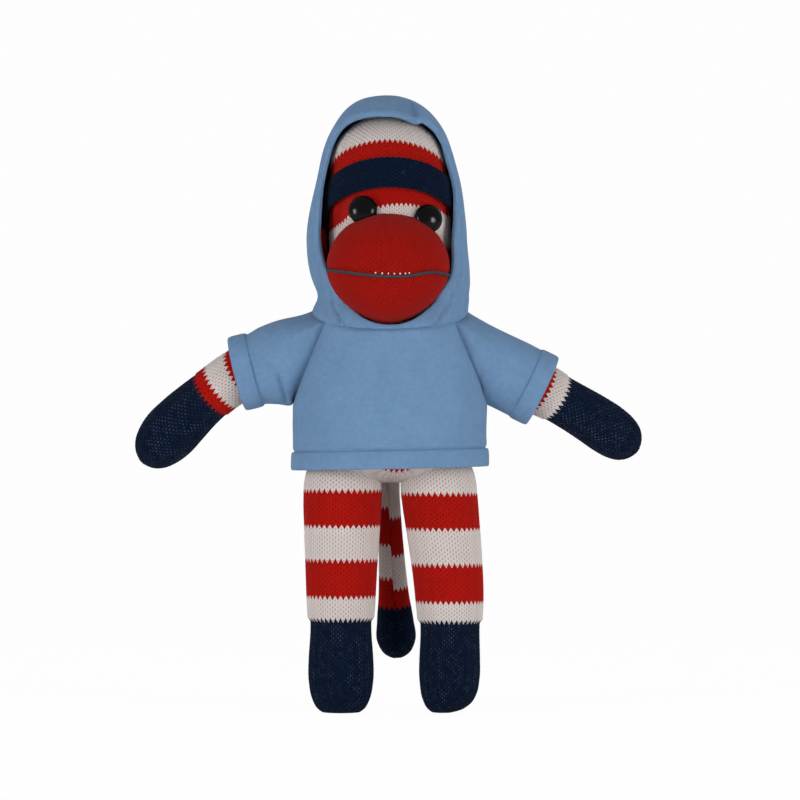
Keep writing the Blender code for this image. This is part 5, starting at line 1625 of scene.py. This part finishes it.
for side, sleeve in SLEEVES.items():
    arm = ARMS[side]
    out = arm["out"]
    start = (out * (SHOULDER_OUT - SLEEVE_INSIDE), 0, arm["height"] - SLEEVE_DROP)
    path = Path(bones(start, sleeve["lengths"], sleeve["slopes"], out, ARM_BACK / 2))

    def sleeve_size(distance, path=path, shares=sleeve["shares"]):
        share = np.interp(distance / path.length, SLEEVE_STATION_SHARES, shares)
        return SLEEVE_HALF_HEIGHT * share, SLEEVE_HALF_DEPTH * share

    turns = full_turn(SLEEVE_COLUMNS)
    loops = [armhole(out, SLEEVE_COLUMNS)]
    for share in SLEEVE_LOOP_SHARES:
        distance = share * path.length
        tall, deep = sleeve_size(distance)
        point, way, across, ahead = path.at(distance)
        upwards = -out * across
        loops.append(point + np.outer(np.cos(turns) * tall, upwards) + np.outer(np.sin(turns) * deep, ahead))
    grid = loft(loops, 70)
    if out > 0:
        grid = grid[:, ::-1]
    from_seam = np.linalg.norm(grid - grid[:1], axis=2)
    seam_normal = oval_normal(grid[:1], jacket_size)
    pinch = front_crease(grid) if side == "left" else 0
    soft = hanging(grid, SLEEVE_WAVE) * ease(from_seam, 0, SEAM_CALM) - SLEEVE_CREASE_DEPTH * pinch
    grid = grid + outward(grid) * soft[..., None] - seam_normal * (SEAM_DEPTH * beside(from_seam))[..., None]
    grid = np.concatenate([grid[:1] - seam_normal * TURNING, grid], 0)
    inner_part = surface(side + "_sleeve_top", grid, fleece)
    split, split_way, _, _ = path.at(SLEEVE_SPLIT_SHARE * path.length)
    outer_part = cut(inner_part, split, split_way, side + "_sleeve_end")
    for piece in (inner_part, outer_part):
        thick(piece)
    cloth(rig.replaces(inner_part, side + "_sleeve"), SLEEVE_GIRTH, "gathered", [side + "_arm_knit"])
    cloth(outer_part, SLEEVE_GIRTH, "gathered", [side + "_arm_knit"])
    bend_from, bend_to = ((out * reach, 0, UNDERARM) for reach in SLEEVE_BEND)
    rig.blend(inner_part, "torso", side + "_shoulder", bend_from, bend_to)
    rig.blend(outer_part, side + "_shoulder", side + "_arm", split, path.at(path.length)[0])
    middle = path.length + CUFF_WIDTH / 2 + CUFF_GAP
    cuff = hoop(
        side + "_jacket_cuff", path, middle, sleeve_size, CUFF_WIDTH, CUFF_PROUD, SLEEVE_COLUMNS
    )
    cloth(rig.replaces(cuff, side + "_cuff"), CUFF_GIRTH, "gathered", [side + "_arm_knit"])
    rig.ride(cuff, side + "_arm")

# %% [markdown]
# ## The hood
# The hood is two panels with a seam over the middle of the head, and a hem with a cord channel round the
# face. It is an egg cut open in front: rows go up from the neckline to the peak, and the cells in front of
# the face's edge are left out. The hem covers the cut, so the cut needs no care. Head and body turn against
# each other, so the cloth is cut a little above the neckline and parallel to it, and each part bends over
# one of the neck's two hinges.

# %% Hood
HOOD_BASE = 169.2 * MM
HOOD_HEIGHT = 105.3 * MM
HOOD_HALF_WIDTH = 37 * MM
HOOD_HALF_DEPTH = 36 * MM
HOOD_BACK = 1.5 * MM
HOOD_RISE_SHARES = (0, 0.09, 0.155, 0.21, 0.3, 0.4, 0.53, 0.67, 0.765, 0.84, 0.9, 0.945, 0.98, 1)
HOOD_WIDTH_SHARES = (
    0.94, 0.94, 0.915, 0.95, 0.985, 0.985, 0.92, 0.844, 0.773, 0.692, 0.589, 0.475, 0.325, 0
)
HOOD_DEPTH_SHARES = (0.92, 0.92, 0.91, 0.94, 0.985, 1, 0.96, 0.88, 0.8, 0.7, 0.59, 0.46, 0.31, 0)
HOOD_LEFT, HOOD_RIGHT, HOOD_CHEEK, HOOD_JAW = 1.1 * MM, 1.8 * MM, 1.5 * MM, 3.2 * MM
CHEEK_HEIGHT, CHEEK_REACH = 203 * MM, 13 * MM
NECK_FOLD_HEIGHT, NECK_FOLD_REACH = 186 * MM, 9 * MM
HEAD_FROM, HEAD_TO = 195 * MM, 212 * MM
JAW_FRONT, JAW_BACK = -24 * MM, -9 * MM
HOOD_WAVE = 0.45 * MM
HOOD_SETTLE = 7 * MM
CENTRE_SEAM_DEPTH, CENTRE_SEAM_REACH = 0.5 * MM, 0.7 * MM
PEAK_CALM = 12 * MM
HOOD_COLUMNS = 260
FACE_BOTTOM = 172.5 * MM
FACE_HEIGHT = 92.5 * MM
FACE_DEPTH = 33 * MM
FACE_RISE_SHARES = (
    -0.06, -0.012, 0.014, 0.055, 0.133, 0.213, 0.292, 0.37, 0.451, 0.529, 0.608, 0.7, 0.8, 0.866, 0.928,
    0.959, 0.99, 1.01,
)
FACE_DEPTH_SHARES = (
    1.08, 0.97, 0.924, 0.85, 0.68, 0.6, 0.59, 0.575, 0.539, 0.482, 0.424, 0.385, 0.36, 0.33, 0.375,
    0.44, 0.58, 0.72,
)
HEM_WIDTH = 7.5 * MM
HOOD_UNDER_HEM_SHARE = 0.55
PEAK_CREASE_DEPTH = 2.4 * MM
PEAK_CREASE_ASIDE, PEAK_CREASE_SLANT = 11.4 * MM, 0.36
PEAK_CREASE_GENTLE, PEAK_CREASE_STEEP = 7 * MM, 1 * MM
PEAK_CREASE_LOW, PEAK_CREASE_DEEP = 253 * MM, 259 * MM
PEAK_CREASE_FADE, PEAK_CREASE_END = 270 * MM, 274.5 * MM

stations = np.stack([
    HOOD_BASE + HOOD_HEIGHT * np.array(HOOD_RISE_SHARES),
    HOOD_HALF_WIDTH * np.array(HOOD_WIDTH_SHARES),
    HOOD_HALF_DEPTH * np.array(HOOD_DEPTH_SHARES),
], 1)
hood_curve = through(stations, 900, after=stations[-2] * (1, -1, -1))
face = Path(np.stack([
    0 * np.array(FACE_RISE_SHARES),
    -FACE_DEPTH * np.array(FACE_DEPTH_SHARES),
    FACE_BOTTOM + FACE_HEIGHT * np.array(FACE_RISE_SHARES),
], 1), across=(1, 0, 0))


def hood_size(height):
    """The hood's half width and half depth at a height."""
    return np.moveaxis(read(height, hood_curve[:, 0], hood_curve[:, 1:]), -1, 0)


def hood_aside(point):
    """How far the hood sits to the side: to the left round the head, and to the right where the neck creases.
    Its right cheek lies closer to the face than its left, and its right front is drawn in to the jaw."""
    x, y, height = (point[..., axis] for axis in range(3))
    cheek = HOOD_CHEEK * beside(height - CHEEK_HEIGHT, CHEEK_REACH) * ease(x, 0, 20 * MM)
    jaw = HOOD_JAW * ease(x, 2 * MM, 14 * MM) * (1 - ease(y, JAW_FRONT, JAW_BACK))
    aside = (HOOD_RIGHT - jaw) * beside(height - NECK_FOLD_HEIGHT, NECK_FOLD_REACH)
    return aside - HOOD_LEFT * ease(height, HEAD_FROM, HEAD_TO) - cheek


def top_crease(point):
    """A valley at the right of the peak, gentle on its left and steep on its right."""
    x, y, height = (point[..., axis] for axis in range(3))
    beyond = x - (PEAK_CREASE_ASIDE + (PEAK_CREASE_FADE - height) * PEAK_CREASE_SLANT)
    valley = beside(beyond, np.where(beyond < 0, PEAK_CREASE_GENTLE, PEAK_CREASE_STEEP))
    span = ease(height, PEAK_CREASE_LOW, PEAK_CREASE_DEEP)
    span = span * (1 - ease(height, PEAK_CREASE_FADE, PEAK_CREASE_END))
    return PEAK_CREASE_DEPTH * valley * span * (y < 0)


def behind_face(grid):
    """How far points lie behind the face's edge, seen from the side, which is less than 0 in front of it."""
    shape = grid.shape[:-1]
    flat = grid.reshape(-1, 3)[:, None, 1:]
    edge = face.points[None, ::3, 1:]
    gap = np.linalg.norm(flat - edge, axis=2)
    near = gap.argmin(axis=1)
    _, _, back, _ = face.at(face.along[::3][near])
    sign = np.sign(((flat[:, 0] - edge[0, near]) * back[:, 1:]).sum(axis=1))
    return (sign * gap.min(axis=1)).reshape(shape)


turn = full_turn(HOOD_COLUMNS)
along = lengths(hood_curve[:, :2])
neck_height = on_neckline(
    NECKLINE + 0 * turn, lambda height: HOOD_BACK - hood_size(height)[1] * np.sin(turn)
)
neck_along = np.interp(neck_height, hood_curve[:, 0], along)
up_hood = neck_along + (along[-1] - neck_along) * np.linspace(0, 1, 130)[:, None]
height, wide, deep = (np.interp(up_hood, along, hood_curve[:, axis]) for axis in range(3))
grid = np.stack([wide * np.cos(turn), HOOD_BACK - deep * np.sin(turn), height], -1)
grid[-1] = grid[-1].mean(axis=0)
from_neck = up_hood - neck_along
neck_edge = neckline_point(turn)
centre_seam = CENTRE_SEAM_DEPTH * beside(grid[..., 0], CENTRE_SEAM_REACH)
calm = ease(along[-1] - up_hood, 0, PEAK_CALM) * ease(from_neck, 0, SEAM_CALM)
relief = (hanging(grid, HOOD_WAVE) - centre_seam - top_crease(grid)) * calm
shape = grid + outward(grid) * relief[..., None]
settled = ease(from_neck, 0, HOOD_SETTLE)
shape[..., 0] += hood_aside(grid) * settled
shape += (neck_edge - grid[0]) * (1 - settled)[..., None]
neck_shift = np.column_stack([neck_edge - grid[0], neck_height])
neck_normal = oval_normal(neck_edge, jacket_size)
shape -= neck_normal * (SEAM_DEPTH * beside(from_neck))[..., None]
raised = np.concatenate([shape[:1] - neck_normal * TURNING, shape], 0)
grid = np.concatenate([grid[:1], grid], 0)
centres = (grid[:-1] + grid[1:]) / 2
centres = (centres + np.roll(centres, -1, axis=1)) / 2
keep = behind_face(centres) > HEM_WIDTH * HOOD_UNDER_HEM_SHARE
hood = surface("hood_low", raised, fleece, poles=(False, True), keep=keep)

neck_way = np.array((0, -NECKLINE_SLOPE, 1)) / math.hypot(1, NECKLINE_SLOPE)
neck_point = np.array((0, 0, NECKLINE))
NECK_BEND = 8 * MM
HEAD_BEND = 26 * MM
HOOD_GIRTH, HOOD_NECK_GIRTH = 210 * MM, 190 * MM
split = neck_point + neck_way * NECK_BEND
hood_top = cut(hood, split, neck_way, "hood_top")
for piece in (hood, hood_top):
    thick(piece)
cloth(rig.replaces(hood_top, "hood_left_panel", "hood_right_panel"), HOOD_GIRTH, "draped", ["hat_crown_knit"])
cloth(hood, HOOD_NECK_GIRTH, "gathered", ["jacket_body"])
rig.blend(hood, "torso", "neck", neck_point, split)
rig.blend(hood_top, "neck", "head", split, split + neck_way * HEAD_BEND)

# %% [markdown]
# The hem follows the face's edge. Seen from the side the edge is one curve, and the egg gives how far out
# it lies, so each point of the hem is that curve set back by the hem's own width, pushed out to the egg. It
# is a soft tube in front, a row of stitches 4 mm back, and a flat edge behind.

# %% Hood hem
HEM_STITCH = 4.2 * MM
STITCH_DENT, STITCH_REACH = 1 * MM, 0.55 * MM
STITCH_HEIGHT, STITCH_TURN = 0.25 * MM, 0.9
HEM_ROLL = 0.5 * MM
ROLL_MIDDLE, ROLL_REACH = 1.6 * MM, 2.2 * MM
HEM_EDGE_PROUD = 0.12 * MM
CROSS_OVER = 0.8 * MM
HEM_COLUMNS = 520
HEM_SECTION = 52

turns = np.linspace(0, math.tau, HEM_SECTION + 1)
section_back, section_out = oval(turns, (HOOP_POWER, HOOP_POWER))
back_by = HEM_WIDTH / 2 * (1 - section_back)
round_face = full_turn(HEM_COLUMNS)


def hem_line(back):
    """The closed line on the egg that lies back behind the face's edge: where x would be the root of a
    negative number, the line has crossed the middle, so its ends are found first."""
    reach = np.linspace(-8 * MM, face.length + 12 * MM, 1500)
    point, _, behind, _ = face.at(reach)
    line = point + behind * back
    wide, deep = hood_size(line[:, 2])
    inside = 1 - ((line[:, 1] - HOOD_BACK) / np.maximum(deep, 0.01 * MM)) ** 2
    good = np.nonzero(inside > 0)[0]
    middle = good[len(good) // 2]
    first = middle - np.argmax(inside[middle::-1] <= 0) + 1
    last = middle + np.argmax(inside[middle:] <= 0) - 1
    travel = reach[first] + (reach[last] - reach[first]) * (1 - np.cos(round_face)) / 2
    spot = read(travel, reach, line)
    wide, deep = hood_size(spot[:, 2])
    x = wide * np.sqrt(np.clip(1 - ((spot[:, 1] - HOOD_BACK) / deep) ** 2, 0, 1))
    spot[:, 0] = x * np.sign(np.sin(round_face) + 1e-9)
    return spot


rows = np.stack([hem_line(back) for back in back_by])
normal = oval_normal(rows, hood_size, HOOD_BACK)
front_roll = HEM_ROLL * beside(back_by - ROLL_MIDDLE, ROLL_REACH)
stitch_dent = STITCH_DENT * beside(back_by - HEM_STITCH, STITCH_REACH)
proud = HEM_PROUD * (1 - ease(back_by, HEM_STITCH, HEM_WIDTH)) + HEM_EDGE_PROUD
lift = (proud - FLEECE) / 2 + (proud + FLEECE) / 2 * section_out
lift = lift + (front_roll - stitch_dent) * (section_out > 0)
cross_over = CROSS_OVER * ease(np.sin(round_face), 0.08, -0.02) * (np.cos(round_face) > 0.8)
stitches = STITCH_HEIGHT * np.sin(np.arange(HEM_COLUMNS) * STITCH_TURN)
stitches = stitches * (beside(back_by - HEM_STITCH, 0.7 * MM) * (section_out > 0))[:, None]
lift = lift[:, None] + cross_over + stitches
wide, deep = hood_size(rows[..., 2])
wide, deep = np.maximum(wide, MM), np.maximum(deep, MM)
around = np.arctan2((HOOD_BACK - rows[..., 1]) / deep, rows[..., 0] / wide)
shift = read(around, turn, neck_shift, period=math.tau)
from_neck = rows[..., 2] - shift[..., 3]
settled = ease(from_neck, 0, HOOD_SETTLE)
lift = lift + (hanging(rows, HOOD_WAVE) * ease(from_neck, 0, SEAM_CALM) - top_crease(rows))
rows = rows + normal * lift[..., None] + shift[..., :3] * (1 - settled)[..., None]
rows[..., 0] += hood_aside(rows) * settled
rows[-1] = rows[0]
band = welded(surface("hood_hem_low", rows, fleece))
cut(band, neck_point + neck_way * 0.3 * MM, -neck_way, close=True)
band_top = cut(band, split, neck_way, "hood_hem_top", close=True)
cloth(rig.replaces(band_top, "hood_hem"), 2 * HEM_WIDTH, "gathered", ["hood_top"])
cloth(band, 2 * HEM_WIDTH, "gathered", ["hood_low"])
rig.blend(band, "torso", "neck", neck_point, split)
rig.blend(band_top, "neck", "head", split, split + neck_way * HEAD_BEND)

# %% [markdown]
# ## Floor, backdrop and light
# The floor rises behind the doll in one smooth sweep, so no horizon shows. It is near white by its own glow
# for the camera and for reflections, and keeps a little real shading, so that the doll's shadow still lies
# on it. Two broad lamps stand to the left and right of the camera and give the soft light. A smaller lamp
# at each stand is seen only in glossy surfaces: it is what the eyes mirror, as two small bright dots.

# %% Floor and backdrop
SWEEP_HALF_WIDTH = 3.0
SWEEP_FRONT = -3.0
SWEEP_BACK = 1.2
SWEEP_RADIUS = 0.8
SWEEP_TOP = 3.2
GLOW_SHARE = 0.965

bend = np.linspace(0, math.pi / 2, 24)
line = [(SWEEP_FRONT, 0)]
line += list(zip(SWEEP_BACK + SWEEP_RADIUS * np.sin(bend), SWEEP_RADIUS * (1 - np.cos(bend))))
line += [(SWEEP_BACK + SWEEP_RADIUS, SWEEP_TOP)]
grid = np.array([[(x, *place) for x in (-SWEEP_HALF_WIDTH, SWEEP_HALF_WIDTH)] for place in line])
paper = Finish("backdrop_paper", 0.9, Base_Color=(0.86, 0.86, 0.86))
rays = paper.node("LightPath")
seen = [Wire(paper.tree, rays.socket.node.outputs[name]) for name in (
    "Is Camera Ray", "Is Glossy Ray", "Is Transmission Ray"
)]
glow = paper.node("Emission", values={"Color": (1.0, 1.0, 1.0), "Strength": 1.0})
both = paper.node("MixShader", values={0: (seen[0] + seen[1] + seen[2]).clipped() * GLOW_SHARE})
paper.tree.links.new(paper.surface.outputs[0], both.socket.node.inputs[1])
paper.tree.links.new(glow.socket, both.socket.node.inputs[2])
paper.tree.links.new(both.socket, paper.tree.nodes["Material Output"].inputs["Surface"])
sweep = surface("backdrop", grid[::-1], paper, closed=False)
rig.stage(sweep)

# %% [markdown]
# The broad lamps and the small ones share two stands. Blender can hide a lamp from matte or from glossy
# surfaces, so each pair is left to one kind. The world adds an even light, which fills the shadows.

# %% Lamps and surroundings
LAMP_AWAY = 1.2
LAMP_SIZE = 0.6
LAMP_AZIMUTH = math.radians(48)
LAMP_HEIGHT = 0.32
LAMP_WATTS = 6.0
CATCH_WATTS = 95.0
CATCH_SIZE = 0.36
AMBIENT = 0.5

for kind, side, watts, size in (
    ("lamp", "left", LAMP_WATTS, LAMP_SIZE), ("lamp", "right", LAMP_WATTS, LAMP_SIZE),
    ("catch", "left", CATCH_WATTS, CATCH_SIZE), ("catch", "right", CATCH_WATTS, CATCH_SIZE),
):
    mirrored = kind == "catch"
    aside = -1 if side == "left" else 1
    lamp = bpy.data.lights.new(kind + "_" + side, "AREA")
    lamp.energy = watts
    lamp.size = size
    lamp.shape = "DISK"
    stand = bpy.data.objects.new(kind + "_" + side, lamp)
    bpy.context.scene.collection.objects.link(stand)
    stand.location = (
        aside * LAMP_AWAY * math.sin(LAMP_AZIMUTH), -LAMP_AWAY * math.cos(LAMP_AZIMUTH), LAMP_HEIGHT
    )
    stand.rotation_euler = (math.pi / 2, 0, aside * LAMP_AZIMUTH)
    stand.visible_diffuse = not mirrored
    stand.visible_glossy = mirrored

world = bpy.data.worlds.new("surroundings")
world.use_nodes = True
bpy.context.scene.world = world
sky = world.node_tree.nodes["Background"]
sky.inputs["Color"].default_value = (1, 1, 1, 1)
sky.inputs["Strength"].default_value = AMBIENT
bpy.context.scene.view_settings.view_transform = "Standard"

# %% [markdown]
# ## Sizes
# The dressed doll has to be as large as the imported one, so both boxes are measured and printed side by
# side.

# %% Sizes
visual_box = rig.bounds()
with open("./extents.json", "w") as file:
    json.dump({"cad": [list(c) for c in cad_box], "visual": [list(c) for c in visual_box]}, file)
for axis, label in enumerate("XYZ"):
    spans = [round((high[axis] - low[axis]) / MM, 1) for low, high in (cad_box, visual_box)]
    print(label, "cad", spans[0], "mm, visual", spans[1], "mm")
